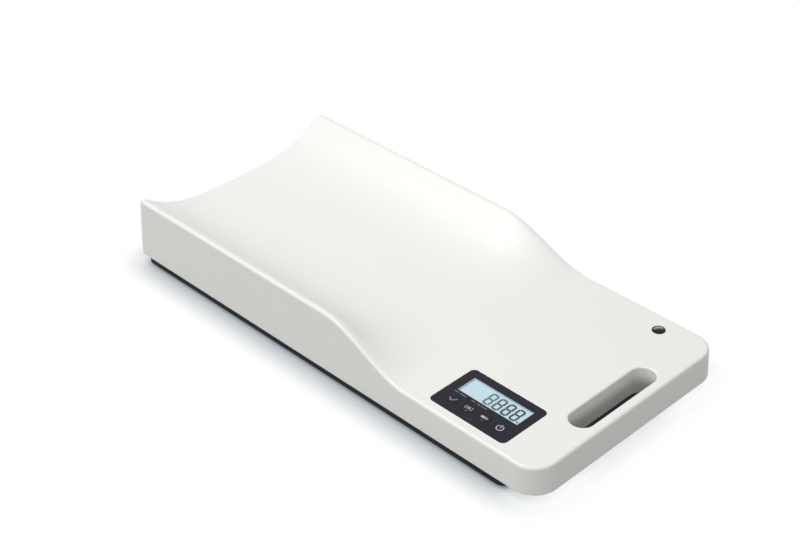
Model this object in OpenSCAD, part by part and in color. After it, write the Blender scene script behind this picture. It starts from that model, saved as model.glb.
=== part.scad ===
// Digital baby weighing scale: a one-piece lying tray with a flat console and a carrying slot,
// weighed on one load cell inside a low base that stands on four levelling feet.
// X runs from the open end of the trough to the handle, -Y is the user's side, Z is up.
// The origin is on the surface it stands on, under the middle of the tray. Sizes are millimetres.

/* [Tray] */
// Length of the tray along X
tray_l = 630; // [610:5:670]
// Width of the tray at the lower edge of its skirt
tray_w = 296; // [288:2:310]
// Height of the two side crests above the skirt's lower edge
crest_h = 73; // [69:0.5:80]
// Height of the trough's bed at the open end, above the skirt's lower edge
bed_h = 38.7; // [38:0.1:42]
// Height of the flat console above the skirt's lower edge
console_h = 34; // [33.5:0.5:37]
// Length of the flat console, from the handle end
console_l = 184; // [180:1:190]
// Length over which the crests fall to the console
slope_l = 124; // [100:1:150]
// Distance of the crest line from the tray's side
crest_inset = 7.5; // [6:0.5:10]
// How sharply the trough's sides turn up
side_power = 3.4; // [2.6:0.1:4.5]
// Wall of the tray moulding
tray_wall = 3; // [2.5:0.1:3.2]
// Lean of the skirt
draft_angle = 3.2; // [2:0.1:4]
// Rounding of the tray's upper edge
edge_r = 3.5; // [2.5:0.5:4.5]
// Plan rounding of the skirt's corners at the handle end
handle_corner_r = 30; // [24:1:34]
// Plan rounding left at the crests' corners at the open end
crest_corner_r = 1.5; // [1:0.5:4]

/* [Carrying slot] */
// Length of the carrying slot, across the tray
slot_l = 125; // [110:1:135]
// Width of the carrying slot
slot_w = 28; // [24:1:30]
// Distance of the slot's middle from the handle end
slot_end_gap = 27.6; // [26.5:0.1:29]
// Wall round the slot
slot_wall = 2.5; // [2:0.1:3]
// Height of the slot wall's lower edge above the skirt's lower edge
slot_lift = 0.2; // [0:0.1:8]
// Rounding of the slot's upper edge
slot_lip_r = 2.2; // [1:0.1:2.4]

/* [Base] */
// Height of the base's underside above the floor, with the feet screwed in
foot_h = 4.5; // [4:0.1:6]
// How far the base shows below the tray's skirt
base_drop = 8.5; // [8:0.1:11]
// How far the base's sides lie inside the skirt
base_inset = 2; // [1.5:0.1:4]
// Distance of the base from the open end
base_open_gap = 10; // [8:0.5:14]
// Distance of the base from the handle end
base_handle_gap = 43; // [42.5:0.5:46]
// Plan rounding of the base's corners
base_corner_r = 12; // [8:1:18]
// Floor and walls of the base moulding
base_wall = 3; // [2.6:0.1:3.2]
// Height of the base's inner rim above the skirt's lower edge
base_rim_h = 7; // [5:0.5:9]

/* [Feet] */
// Distance of the open-end feet from the open end
foot_open_gap = 48; // [40:1:60]
// Distance of the handle-end feet from the handle end
foot_handle_gap = 74; // [70:1:84]
// Distance of the feet from the tray's sides
foot_side_gap = 36; // [34:1:44]
// Diameter of a foot's knurled wheel
foot_d = 30; // [26:1:32]
// Thickness of a foot's rubber pad
pad_t = 2.2; // [1.8:0.1:2.4]
// Diameter of a foot's threaded stem
stem_d = 8; // [6:1:10]
// Length of a foot's stem above its wheel
stem_l = 21; // [20:0.5:22]

/* [Load cell] */
// Length of the load cell
cell_l = 130; // [120:1:150]
// Width of the load cell
cell_w = 30; // [25:1:40]
// Height of the load cell
cell_h = 22; // [20:0.5:22.5]
// Distance of the load cell's middle from the tray's, towards the open end
cell_shift = 15; // [0:1:30]
// Thickness of the spacer above and below the load cell
spacer_t = 3; // [2:0.1:3.2]
// Sheet of the base frame
frame_t = 2; // [1.5:0.1:2.4]
// Sheet of the tray frame
carrier_t = 2.5; // [2:0.1:2.6]

/* [Console] */
// Length of the display panel, along X
panel_l = 103.8; // [100:0.1:106]
// Width of the display panel
panel_w = 68.7; // [66:0.1:72]
// Thickness of the display panel
panel_t = 2; // [1.6:0.1:2.2]
// Plan rounding of the panel's corners
panel_corner_r = 6; // [4:0.5:9]
// Distance of the panel from the handle end
panel_end_gap = 56.7; // [54:0.1:60]
// Distance of the panel from the user's side
panel_side_gap = 13.8; // [12.5:0.1:16]
// Length of the display window, along X
window_l = 81; // [76:0.1:84]
// Distance of the window from the panel's far edge
window_gap = 11; // [9:0.1:12]
// Distance of the keys' row from the window's near edge
key_window_gap = 14.5; // [13.5:0.1:16]
// Diameter of a key
key_d = 14; // [12:0.5:15]
// Spacing of the keys
key_pitch = 21.8; // [20:0.1:22.5]
// Distance of the keys' row from the panel's near edge
key_gap = 17.2; // [15:0.1:18]
// Travel of a key
key_travel = 0.5; // [0.3:0.05:0.6]

/* [Spirit level] */
// Diameter of the spirit level's rim
level_d = 15; // [13:0.5:18]
// Distance of the spirit level from the handle end
level_end_gap = 65; // [60:1:70]
// Distance of the spirit level from the far side
level_side_gap = 26; // [22:1:30]

/* [Battery bay] */
// Diameter of a battery cell
battery_d = 14.2; // [13.8:0.1:14.5]
// Length of a battery cell
battery_l = 50.5; // [49:0.1:51]
// Distance of the bay's middle from the handle end
bay_handle_gap = 112; // [108:1:118]
// Thickness of the battery door
door_t = 2.4; // [2.2:0.1:2.5]

/* [Hidden] */
$fn = 48;

white = [0.93, 0.93, 0.91];
charcoal = [0.16, 0.17, 0.18];
panel_black = [0.13, 0.13, 0.17];
steel = [0.7, 0.71, 0.73];

// Clearances
fit_gap = 0.15;     // round a piece that drops into a recess of its own body
run_gap = 0.05;     // radial gap of a stem that turns in its bore
key_side_gap = 0.2; // round a key
hole_gap = 0.4;     // across a screw in its clearance hole
shell_gap = 2.5;    // between the tray's skirt and the base's inner rim
lie_gap = 0.2;      // under a lead that lies on a sheet or a floor
overlap = 0.02;     // depth by which a cut runs past a face

// Heights
base_z = foot_h;
skirt_z = base_z + base_drop;
console_z = skirt_z + console_h;
base_floor_z = base_z + base_wall;
frame_top_z = base_floor_z + frame_t;
cell_z = frame_top_z + spacer_t;
carrier_z = cell_z + cell_h + spacer_t;
carrier_top_z = carrier_z + carrier_t;
slot_wall_z = skirt_z + slot_lift;

// Places
function from_open(m) = m - tray_l/2;
function from_handle(m) = tray_l/2 - m;
function from_user(m) = m - tray_w/2;
function from_far(m) = tray_w/2 - m;

// ---- Shape of the tray ----

lean = tan(draft_angle);
slope_x1 = from_handle(console_l);
slope_x0 = slope_x1 - slope_l;
side_gain = 1.08;   // above 1, so that the crest turns over before the tray's side
side_soft = 0.1;    // width of the crest's turn, as a share of the trough's depth

function ease(t) = let (c = max(0, min(1, t))) c*c*(3 - 2*c);
function crest(x) = crest_h + (console_h - crest_h)*ease((x - slope_x0)/slope_l);
function bed(x) = bed_h + (console_h - bed_h)*ease((x - from_open(0))/(slope_x1 - from_open(0)));
function side_rise(y) =
    let (left = 1 - side_gain*pow(abs(y)/(tray_w/2 - crest_inset), side_power))
    1 - (left + sqrt(left*left + side_soft*side_soft))/2;
// Height of the tray's upper face above the skirt's lower edge
function top_h(x, y) = bed(x) + (crest(x) - bed(x))*side_rise(y);

// The lower outline is walked in stations [x, y, nx, ny], where [nx, ny] points outward
open_corner_r = crest_corner_r + edge_r + (crest_h - edge_r)*lean;
open_steps = 2;
bed_steps = 7;
slope_steps = 16;
console_steps = 2;
corner_steps = 8;
across_steps = 26;
fillet_steps = 4;

function arc_station(cx, cy, r, a) = [cx + r*cos(a), cy + r*sin(a), cos(a), sin(a)];
function side_run(x0, x1, steps) =
    [for (i = [1:steps]) [x0 + (x1 - x0)*i/steps, -tray_w/2, 0, -1]];
side_stations = concat(
    [for (i = [0:open_steps]) arc_station(from_open(open_corner_r), from_user(open_corner_r),
        open_corner_r, 180 + 90*i/open_steps)],
    side_run(from_open(open_corner_r), slope_x0, bed_steps),
    side_run(slope_x0, slope_x1, slope_steps),
    side_run(slope_x1, from_handle(handle_corner_r), console_steps),
    [for (i = [1:corner_steps]) arc_station(from_handle(handle_corner_r), from_user(handle_corner_r),
        handle_corner_r, 270 + 90*i/corner_steps)]);
last_row = len(side_stations) - 1;

// Columns lie closer together near the crests, from -1 at the user's side to 1
function across(k) = let (t = 2*k/across_steps - 1) 0.55*t + 0.45*sin(90*t);
function is_end(j) = j == 0 || j == last_row;
function station(j, k) =
    j == 0 ? [from_open(0), across(k)*from_far(open_corner_r), -1, 0] :
    j == last_row ? [from_handle(0), across(k)*from_far(handle_corner_r), 1, 0] :
    let (s = side_stations[j]) k == 0 ? s : [s[0], -s[1], s[2], -s[3]];
function inset_point(s, inset) = [s[0] - s[2]*inset, s[1] - s[3]*inset];
// Height of the upper face at a station, a little way in from the skirt
function station_h(s) = let (p = inset_point(s, 2*edge_r)) top_h(p[0], p[1]);

// The outer skin starts inside the rounded edge, and the inner skin inside the wall
function skin_inset(s, inner) =
    let (r = inner ? tray_wall : edge_r) r + (station_h(s) - r)*lean;
function skin_point(j, k, inner) =
    let (s = station(j, is_end(j) ? k : 0))
    let (p = inset_point(s, skin_inset(s, inner)))
    let (q = is_end(j) ? p : [p[0], -across(k)*p[1]])
    [q[0], q[1], top_h(q[0], q[1]) - (inner ? tray_wall : 0)];
function edge_point(s, turn) =
    let (inner_p = inset_point(s, skin_inset(s, false)))
    let (h = top_h(inner_p[0], inner_p[1]))
    let (p = inset_point(s, skin_inset(s, false) - edge_r*cos(turn)))
    [p[0], p[1], h - edge_r + edge_r*sin(turn)];
function skirt_point(s, inset) = let (p = inset_point(s, inset)) [p[0], p[1], 0];

// Cells on the rim of a skin, in order round it
rim_cells = concat(
    [for (j = [0:last_row]) [j, 0]],
    [for (k = [1:across_steps]) [last_row, k]],
    [for (j = [last_row - 1:-1:0]) [j, across_steps]],
    [for (k = [across_steps - 1:-1:1]) [0, k]]);
rim_stations = [for (c = rim_cells) station(c[0], c[1])];
rim_n = len(rim_cells);
skin_n = (last_row + 1)*(across_steps + 1);

function skin(inner) =
    [for (j = [0:last_row]) for (k = [0:across_steps]) skin_point(j, k, inner)];
function cell_at(base, j, k) = base + j*(across_steps + 1) + k;
function skin_rim(base) = [for (c = rim_cells) cell_at(base, c[0], c[1])];
function ring(base) = [for (i = [0:rim_n - 1]) base + i];
function skin_faces(base, up) = [for (j = [0:last_row - 1]) for (k = [0:across_steps - 1])
    let (a = cell_at(base, j, k), b = cell_at(base, j, k + 1))
    let (c = cell_at(base, j + 1, k + 1), d = cell_at(base, j + 1, k))
    each up ? [[a, b, c], [a, c, d]] : [[a, c, b], [a, d, c]]];
function band_faces(low, high) = [for (i = [0:rim_n - 1]) let (n = (i + 1)%rim_n)
    each [[low[i], high[i], high[n]], [low[i], high[n], low[n]]]];

module tray_skin() {
    edge_rings = [for (m = [0:fillet_steps - 1]) for (s = rim_stations)
        edge_point(s, 90*m/fillet_steps)];
    outer_base = 0;
    skirt_base = skin_n;
    edge_base = skirt_base + rim_n;
    inner_base = edge_base + rim_n*fillet_steps;
    inner_skirt_base = inner_base + skin_n;
    points = concat(
        skin(false),
        [for (s = rim_stations) skirt_point(s, 0)],
        edge_rings,
        skin(true),
        [for (s = rim_stations) skirt_point(s, tray_wall)]);
    faces = concat(
        skin_faces(outer_base, true),
        band_faces(ring(skirt_base), ring(edge_base)),
        [for (m = [0:fillet_steps - 2])
            each band_faces(ring(edge_base + m*rim_n), ring(edge_base + (m + 1)*rim_n))],
        band_faces(ring(edge_base + (fillet_steps - 1)*rim_n), skin_rim(outer_base)),
        skin_faces(inner_base, false),
        band_faces(skin_rim(inner_base), ring(inner_skirt_base)),
        band_faces(ring(inner_skirt_base), ring(skirt_base)));
    translate([0, 0, skirt_z]) polyhedron(points, faces, convexity = 10);
}

// ---- Shared shapes ----

module rounded_rect(l, w, r) {
    square([l - 2*r, w], center = true);
    square([l, w - 2*r], center = true);
    for (sx = [-1, 1], sy = [-1, 1]) translate([sx*(l/2 - r), sy*(w/2 - r)]) circle(r);
}

module block(x0, x1, y0, y1, z0, z1) {
    translate([x0, y0, z0]) cube([x1 - x0, y1 - y0, z1 - z0]);
}

// An upright cylinder at a place [x, y]
module post(p, d, z0, z1) {
    translate([p[0], p[1], z0]) cylinder(d = d, h = z1 - z0);
}

// A screw with a pan head; its shank starts at z_head and runs up, or down where up is -1
module pan_screw(p, d, z_head, shank, up) {
    head_t = 0.55*d;
    translate([p[0], p[1], z_head]) mirror([0, 0, up < 0 ? 1 : 0]) {
        translate([0, 0, -head_t]) difference() {
            cylinder(d = 1.9*d, h = head_t);
            translate([0, 0, -overlap]) cylinder(d = 0.9*d, h = 0.5*head_t, $fn = 6);
        }
        cylinder(d = d, h = shank);
    }
}

module slot_outline(grow) {
    for (s = [-1, 1]) translate([0, s*(slot_l - slot_w)/2]) circle(slot_w/2 + grow);
    square([slot_w + 2*grow, slot_l - slot_w], center = true);
}

// ---- Console places ----

panel_c = [from_handle(panel_end_gap + panel_l/2), from_user(panel_side_gap + panel_w/2)];
window_w = panel_w - window_gap - key_window_gap - key_gap;
window_c = [panel_c[0], panel_c[1] + panel_w/2 - window_gap - window_w/2];
key_row_y = panel_c[1] - panel_w/2 + key_gap;
key_at = [for (i = [0:3]) [panel_c[0] + (i - 1.5)*key_pitch, key_row_y]];
panel_z = console_z - panel_t;
seat_t = 2;                           // floor of the panel's recess
seat_rim = 2.5;                       // width of the thickening round the recess
seat_z = panel_z - seat_t;
key_flange_t = 0.9;
key_flange_d = key_d + 1.6;
glass_l = window_l + 4;
glass_w = window_w + 4;
glass_t = 2.6;
lightbox_t = 5.8;
board_t = 1.6;
board_top_z = panel_z - glass_t - lightbox_t;
board_z = board_top_z - board_t;
board_l = panel_l - 2;
board_w = panel_w - 8;
board_screw_d = 3;
board_screw_reach = 5;                // how far the board's screws run into their posts
board_post_d = 7;
board_holes = [for (sx = [-1, 1], sy = [-1, 1])
    [panel_c[0] + sx*(board_l/2 - 4.2), panel_c[1] + sy*(board_w/2 - 4.2)]];
switch_size = 6.2;
switch_h = 3.6;
switch_floor_t = 0.2;
key_stem_d = 3.4;
key_stem_z = board_top_z + switch_floor_t + key_travel + 0.1;

slot_c = [from_handle(slot_end_gap), 0];
level_c = [from_handle(level_end_gap), from_far(level_side_gap)];
level_bore_d = level_d - 3.4;
level_h = 9;
level_stand = 0.5;                    // how far the level's rim stands out of the console

// ---- Tray ----

post_open_gap = 110;                  // from the open end to the first pair of posts
carrier_x = [from_open(post_open_gap), slope_x1 - 6];
carrier_y = 76;
tray_posts = [for (x = carrier_x, s = [-1, 1]) [x, s*carrier_y]];
tray_post_d = 11;
tray_screw_d = 4;
tray_screw_reach = 4;                 // how far the tray screws run into their posts
grip_rib_t = 2;
grip_rib_h = 18;                      // depth of the ribs below the console

// Section of the cut that rounds the slot's upper edge over: [distance from the slot's middle, height]
lip_steps = 4;
lip_section = concat(
    [[slot_w/2 - 1, console_z + 1], [slot_w/2 - 1, console_z - slot_lip_r]],
    [for (i = [0:lip_steps]) let (a = 90*i/lip_steps)
        [slot_w/2 + slot_lip_r*(1 - cos(a)), console_z - slot_lip_r*(1 - sin(a))]],
    [[slot_w/2 + slot_lip_r, console_z + 1]]);

module slot_lip_cut() translate([slot_c[0], slot_c[1], 0]) for (s = [0, 180]) rotate(s) {
    rotate([90, 0, 0]) linear_extrude(slot_l - slot_w, center = true) polygon(lip_section);
    translate([0, (slot_l - slot_w)/2, 0]) rotate_extrude(angle = 180) polygon(lip_section);
}

module tray_shell() color(white) {
    slot_x = slot_c[0] + slot_w/2 + slot_wall/2;
    end_x = from_handle(tray_wall/2 + (console_h/2)*lean);
    difference() {
        union() {
            tray_skin();
            // wall round the carrying slot
            translate([slot_c[0], slot_c[1], slot_wall_z])
                linear_extrude(console_z - tray_wall/2 - slot_wall_z) slot_outline(slot_wall);
            // ribs across the grip
            for (y = [-0.36, -0.12, 0.12, 0.36]*slot_l)
                block(slot_x, end_x, y - grip_rib_t/2, y + grip_rib_t/2,
                    console_z - grip_rib_h, console_z - tray_wall/2);
            // thickening that seats the display panel
            translate([panel_c[0], panel_c[1], seat_z])
                linear_extrude(panel_z - seat_z)
                    rounded_rect(panel_l + 2*seat_rim, panel_w + 2*seat_rim, panel_corner_r + seat_rim);
            // posts for the board and for the tray frame
            for (p = board_holes) post(p, board_post_d, board_top_z, seat_z + overlap);
            for (p = tray_posts)
                post(p, tray_post_d, carrier_top_z, skirt_z + top_h(p[0], p[1]) - tray_wall/2);
            // collar that holds the spirit level
            post(level_c, level_d + 3, console_z - level_h, console_z - tray_wall/2);
        }
        translate([slot_c[0], slot_c[1], slot_wall_z - 1])
            linear_extrude(console_z - slot_wall_z + 2) slot_outline(0);
        slot_lip_cut();
        translate([panel_c[0], panel_c[1], panel_z])
            linear_extrude(panel_t + 1) rounded_rect(panel_l + 2*fit_gap, panel_w + 2*fit_gap,
                panel_corner_r + fit_gap);
        translate([window_c[0], window_c[1], seat_z - 1])
            linear_extrude(seat_t + 2) square([glass_l, glass_w] + [fit_gap, fit_gap]*2, center = true);
        for (p = key_at) post(p, key_flange_d + 2*key_side_gap, seat_z - 1, panel_z + 1);
        for (p = board_holes)
            post(p, 0.8*board_screw_d, board_top_z - 1, board_top_z + board_screw_reach + 0.5);
        for (p = tray_posts)
            post(p, 0.85*tray_screw_d, carrier_top_z - 1, carrier_top_z + tray_screw_reach + 0.5);
        post(level_c, level_d - 1 + 2*fit_gap, console_z - level_h - 1, console_z + 1);
    }
}

module tray_frame() color(steel) {
    spine_w = 50;
    bar_w = 34;
    flange_h = 8;
    x0 = carrier_x[0];
    x1 = carrier_x[1];
    bar_y = carrier_y + 30;           // ends of the cross bars
    bar_hole_y = carrier_y + 20;
    bar_hole_d = 12;
    cell_end = cell_x + cell_l/2;
    spine_holes = 3;
    hole_pitch = (x1 + bar_w/2 - cell_end)/spine_holes;
    difference() {
        union() {
            block(x0 - bar_w/2, x1 + bar_w/2, -spine_w/2, spine_w/2, carrier_z, carrier_top_z);
            for (x = carrier_x) {
                block(x - bar_w/2, x + bar_w/2, -bar_y, bar_y, carrier_z, carrier_top_z);
                // turned-down edges of the cross bars
                for (s = [-1, 1]) let (edge_x = x + s*(bar_w - carrier_t)/2)
                    block(edge_x - carrier_t/2, edge_x + carrier_t/2, -bar_y, bar_y,
                        carrier_z - flange_h, carrier_z);
            }
            // turned-down edges of the spine
            for (s = [-1, 1]) let (edge_y = s*(spine_w - carrier_t)/2)
                block(x0, x1, edge_y - carrier_t/2, edge_y + carrier_t/2, carrier_z - flange_h, carrier_z);
        }
        for (p = tray_posts) post(p, tray_screw_d + hole_gap, carrier_z - 1, carrier_top_z + 1);
        for (x = cell_bolt_x(-1)) post([x, 0], cell_bolt_d + hole_gap, carrier_z - 1, carrier_top_z + 1);
        // lightening holes
        for (i = [0:spine_holes - 1]) post([cell_end + hole_pitch*(i + 0.5), 0], 0.65*hole_pitch,
            carrier_z - 1, carrier_top_z + 1);
        for (x = carrier_x, s = [-1, 1])
            post([x, s*bar_hole_y], bar_hole_d, carrier_z - 1, carrier_top_z + 1);
    }
}

module tray_screws() color(steel)
    for (p = tray_posts) pan_screw(p, 0.8*tray_screw_d, carrier_z, carrier_t + tray_screw_reach, 1);

// ---- Load cell ----

cell_x = -cell_shift;
cell_bolt_d = 5;
cell_bolt_pitch = 15;
cell_bolt_edge = 10;
bore_d = 0.62*cell_h;
bore_pitch = 22;
gauge_t = 1;
cell_thread_t = 5;                    // metal left over a blind thread
bolt_reach = 10;                      // how far a bolt runs into the load cell
// Places of the bolts at one end of the load cell: -1 is the live end, 1 the fixed end
function cell_bolt_x(end) =
    [for (i = [0, 1]) cell_x + end*(cell_l/2 - cell_bolt_edge - i*cell_bolt_pitch)];
spacer_l = cell_bolt_pitch + 2*cell_bolt_edge - 5;

module load_cell() color([0.8, 0.81, 0.82]) difference() {
    block(cell_x - cell_l/2, cell_x + cell_l/2, -cell_w/2, cell_w/2, cell_z, cell_z + cell_h);
    // two bores joined by a slot leave the four thin webs that bend
    translate([cell_x, 0, cell_z + cell_h/2]) rotate([90, 0, 0]) {
        for (s = [-1, 1]) translate([s*bore_pitch/2, 0, 0])
            cylinder(d = bore_d, h = cell_w + 2, center = true);
        cube([bore_pitch, bore_d/3, cell_w + 2], center = true);
    }
    for (x = cell_bolt_x(-1))
        post([x, 0], cell_bolt_d + 2*run_gap, cell_z + cell_thread_t, cell_z + cell_h + 1);
    for (x = cell_bolt_x(1))
        post([x, 0], cell_bolt_d + 2*run_gap, cell_z - 1, cell_z + cell_h - cell_thread_t);
}

module gauge_seals() color([0.94, 0.94, 0.92])
    for (z = [cell_z - gauge_t, cell_z + cell_h])
        block(cell_x - bore_pitch, cell_x + bore_pitch, -cell_w/2 + 4, cell_w/2 - 4, z, z + gauge_t);

module cell_spacer(end, z) color(steel) difference() {
    middle = cell_x + end*(cell_l - spacer_l)/2;
    block(middle - spacer_l/2, middle + spacer_l/2, -cell_w/2, cell_w/2, z, z + spacer_t);
    for (x = cell_bolt_x(end)) post([x, 0], cell_bolt_d + hole_gap, z - 1, z + spacer_t + 1);
}
module cell_spacer_upper() cell_spacer(-1, cell_z + cell_h);
module cell_spacer_lower() cell_spacer(1, frame_top_z);

module cell_bolts_upper() color(steel) for (x = cell_bolt_x(-1))
    pan_screw([x, 0], cell_bolt_d, carrier_top_z, carrier_t + spacer_t + bolt_reach, -1);
module cell_bolts_lower() color(steel) for (x = cell_bolt_x(1))
    pan_screw([x, 0], cell_bolt_d, base_floor_z, frame_t + spacer_t + bolt_reach, 1);

// ---- Base ----

base_x0 = from_open(base_open_gap);
base_x1 = from_handle(base_handle_gap);
base_l = base_x1 - base_x0;
base_w = tray_w - 2*base_inset;
base_c = [(base_x0 + base_x1)/2, 0];
rim_step = tray_wall + shell_gap - base_inset;    // from the base's side in to its inner rim
rim_top_z = skirt_z + base_rim_h;
sole_top_z = skirt_z - 1;                         // the tray's skirt hangs clear above this
rim_t = 2.5;
inner_w = base_w - 2*(rim_step + rim_t);
inner_l = base_l - 2*(rim_step + rim_t);

foot_x = [from_open(foot_open_gap), from_handle(foot_handle_gap)];
foot_y = from_far(foot_side_gap);
foot_at = [for (x = foot_x, s = [-1, 1]) [x, s*foot_y]];
beam_w = 40;
spine_w = 64;
cross_gap = 34;                                   // from the load cell's end to the cross bar's middle
cross_x = cell_x + cell_l/2 + cross_gap;
frame_screw_d = 3.5;
frame_screw_y = foot_y - 50;
arm_screw_gap = 34;                               // from a foot to the screw in its arm
frame_screws = [for (s = [-1, 1]) each [[foot_x[0], s*frame_screw_y], [cross_x, s*frame_screw_y],
    [foot_x[1] - arm_screw_gap, s*foot_y]]];
screw_seat_t = 1;                                 // floor left over a screw's head
screw_end = 2;                                    // how far a screw's end stands out of the frame
stop_at = [for (x = carrier_x, s = [-1, 1]) [x, s*(carrier_y - 24)]];
stop_d = 6;
stop_gap = 0.8;                                   // how far the tray frame may sink before it is stopped

module base_frame() color(steel) {
    lip_h = 6;
    hole_d = 24;
    bars = [
        [foot_x[0] - beam_w/2, foot_x[0] + beam_w/2, -foot_y - beam_w/2, foot_y + beam_w/2],
        [cross_x - beam_w/2, cross_x + beam_w/2, -foot_y - beam_w/2, foot_y + beam_w/2],
        [foot_x[0], cross_x, -spine_w/2, spine_w/2],
        [cross_x, foot_x[1] + beam_w/2, -foot_y - beam_w/2, -foot_y + beam_w/2],
        [cross_x, foot_x[1] + beam_w/2, foot_y - beam_w/2, foot_y + beam_w/2]];
    difference() {
        union() {
            for (b = bars) block(b[0], b[1], b[2], b[3], base_floor_z, frame_top_z);
            // turned-up edges along the spine and the arms
            for (s = [-1, 1]) {
                block(foot_x[0] + beam_w/2, cross_x - beam_w/2, s*(spine_w - frame_t)/2 - frame_t/2,
                    s*(spine_w - frame_t)/2 + frame_t/2, frame_top_z, frame_top_z + lip_h);
                block(cross_x, foot_x[1] + beam_w/2, s*(foot_y + beam_w/2 - frame_t/2) - frame_t/2,
                    s*(foot_y + beam_w/2 - frame_t/2) + frame_t/2, frame_top_z, frame_top_z + lip_h);
            }
            block(foot_x[0] - beam_w/2, foot_x[0] - beam_w/2 + frame_t, -foot_y, foot_y,
                frame_top_z, frame_top_z + lip_h);
        }
        for (p = foot_at) post(p, stem_d + 2, base_floor_z - 1, frame_top_z + 1);
        for (p = frame_screws) post(p, frame_screw_d + 2*run_gap, base_floor_z - 1, frame_top_z + 1);
        for (x = cell_bolt_x(1)) post([x, 0], cell_bolt_d + hole_gap, base_floor_z - 1, frame_top_z + 1);
        // lightening holes
        for (i = [0:3]) post([foot_x[0] + beam_w/2 + hole_d*(1 + 1.35*i), 0], hole_d,
            base_floor_z - 1, frame_top_z + 1);
        for (x = [foot_x[0], cross_x], s = [-1, 1])
            post([x, s*(foot_y - 1.1*hole_d)], 0.6*hole_d, base_floor_z - 1, frame_top_z + 1);
    }
}

module base_pan() color(charcoal) {
    rib_t = 2;
    rib_h = 4;
    rib_gap = 3;                      // from the frame's spine to a rib
    stop_post_d = 14;
    notch_r = 7;
    rib_x = [for (i = [1:6]) foot_x[0] + beam_w/2 + (cross_x - foot_x[0] - beam_w)*i/7];
    difference() {
        union() {
            difference() {
                union() {
                    translate([base_c[0], 0, base_z]) linear_extrude(sole_top_z - base_z)
                        rounded_rect(base_l, base_w, base_corner_r);
                    translate([base_c[0], 0, base_z]) linear_extrude(rim_top_z - base_z)
                        rounded_rect(base_l - 2*rim_step, base_w - 2*rim_step, base_corner_r - rim_step/2);
                }
                translate([base_c[0], 0, base_floor_z]) linear_extrude(rim_top_z)
                    rounded_rect(inner_l, inner_w, base_corner_r - rim_step);
            }
            // battery bay, closed above
            block(bay_x - bay_l/2 - bay_wall, bay_x + bay_l/2 + bay_wall,
                -bay_w/2 - bay_wall, bay_w/2 + bay_wall, base_floor_z - overlap, bay_roof_z);
            for (p = stop_at) post(p, stop_post_d, base_floor_z - overlap, stop_post_z);
            // ribs from the rim to the frame's spine
            for (x = rib_x, s = [-1, 1])
                block(x - rib_t/2, x + rib_t/2, s > 0 ? spine_w/2 + rib_gap : -inner_w/2 - overlap,
                    s > 0 ? inner_w/2 + overlap : -spine_w/2 - rib_gap,
                    base_floor_z - overlap, base_floor_z + rib_h);
        }
        block(bay_x - bay_l/2, bay_x + bay_l/2, -bay_w/2, bay_w/2, base_z - 1, bay_roof_z - bay_wall);
        // seat of the battery door
        block(door_x0 - door_gap, door_x1 + door_gap, -door_w/2 - door_gap, door_w/2 + door_gap,
            base_z - 1, base_z + door_t);
        door_pins(door_pin_l + 0.5, door_pin_d + 2*run_gap);
        // finger notch beside the door's latch
        translate([door_x0 - 1, 0, base_z + 2 - notch_r]) sphere(r = notch_r);
        // holes for the wires to the battery contacts
        for (i = wired_cells) translate([bay_x - bay_l/2 - bay_wall - 1, cell_y(i), battery_z])
            rotate([0, 90, 0]) cylinder(d = wire_d + hole_gap, h = bay_wall + 2);
        for (p = foot_at) post(p, stem_d + 2, base_z - 1, base_floor_z + 1);
        for (p = stop_at) post(p, stop_d + 2*run_gap, base_floor_z, stop_post_z + 1);
        for (p = frame_screws) {
            post(p, frame_screw_d + hole_gap, base_z - 1, base_floor_z + 1);
            post(p, 2.2*frame_screw_d, base_z - 1, base_floor_z - screw_seat_t);
        }
        for (x = cell_bolt_x(1)) post([x, 0], 2.2*cell_bolt_d, base_z - 1, base_floor_z + 1);
    }
}

module base_screws() color(steel)
    for (p = frame_screws)
        pan_screw(p, frame_screw_d, base_floor_z - screw_seat_t, screw_seat_t + frame_t + screw_end, 1);

stop_head_t = 4;
stop_nut_t = 2.4;
stop_reach = 12;                                  // length of a stop's shank inside its post
stop_nut_gap = 0.6;                               // thread showing between the nut and the head
stop_post_z = carrier_z - stop_gap - stop_head_t - stop_nut_gap - stop_nut_t;
module overload_stops() color(steel) for (p = stop_at) {
    post(p, stop_d, stop_post_z - stop_reach, carrier_z - stop_gap - stop_head_t + overlap);
    // lock nut and hexagon head
    translate([p[0], p[1], stop_post_z]) cylinder(d = 1.8*stop_d, h = stop_nut_t, $fn = 6);
    translate([p[0], p[1], carrier_z - stop_gap - stop_head_t])
        cylinder(d = 1.8*stop_d, h = stop_head_t, $fn = 6);
}

// ---- Feet ----

wheel_t = foot_h - pad_t - 0.2;
insert_d = 16;
insert_h = 12;
insert_flange_w = 3;
insert_flange_t = 2;

module foot_inserts() color([0.72, 0.6, 0.32]) for (p = foot_at) difference() {
    union() {
        post(p, insert_d, frame_top_z, frame_top_z + insert_h);
        post(p, insert_d + 2*insert_flange_w, frame_top_z, frame_top_z + insert_flange_t);
    }
    post(p, stem_d + 2*run_gap, frame_top_z - 1, frame_top_z + insert_h + 1);
}

module foot_pad(i) color([0.1, 0.1, 0.1]) {
    p = foot_at[i];
    post(p, foot_d - 3, 0, pad_t);
}

module foot_screw(i) color([0.22, 0.23, 0.24]) {
    p = foot_at[i];
    grips = 18;
    difference() {
        post(p, foot_d, pad_t, pad_t + wheel_t);
        for (a = [0:360/grips:359]) translate([p[0], p[1], pad_t - 1]) rotate(a)
            translate([foot_d/2 + 0.6, 0, 0]) cylinder(d = 3, h = wheel_t + 2);
    }
    post(p, stem_d, pad_t + wheel_t - overlap, pad_t + wheel_t + stem_l);
}
module foot_pad_1() foot_pad(0);
module foot_pad_2() foot_pad(1);
module foot_pad_3() foot_pad(2);
module foot_pad_4() foot_pad(3);
module foot_screw_1() foot_screw(0);
module foot_screw_2() foot_screw(1);
module foot_screw_3() foot_screw(2);
module foot_screw_4() foot_screw(3);

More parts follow.
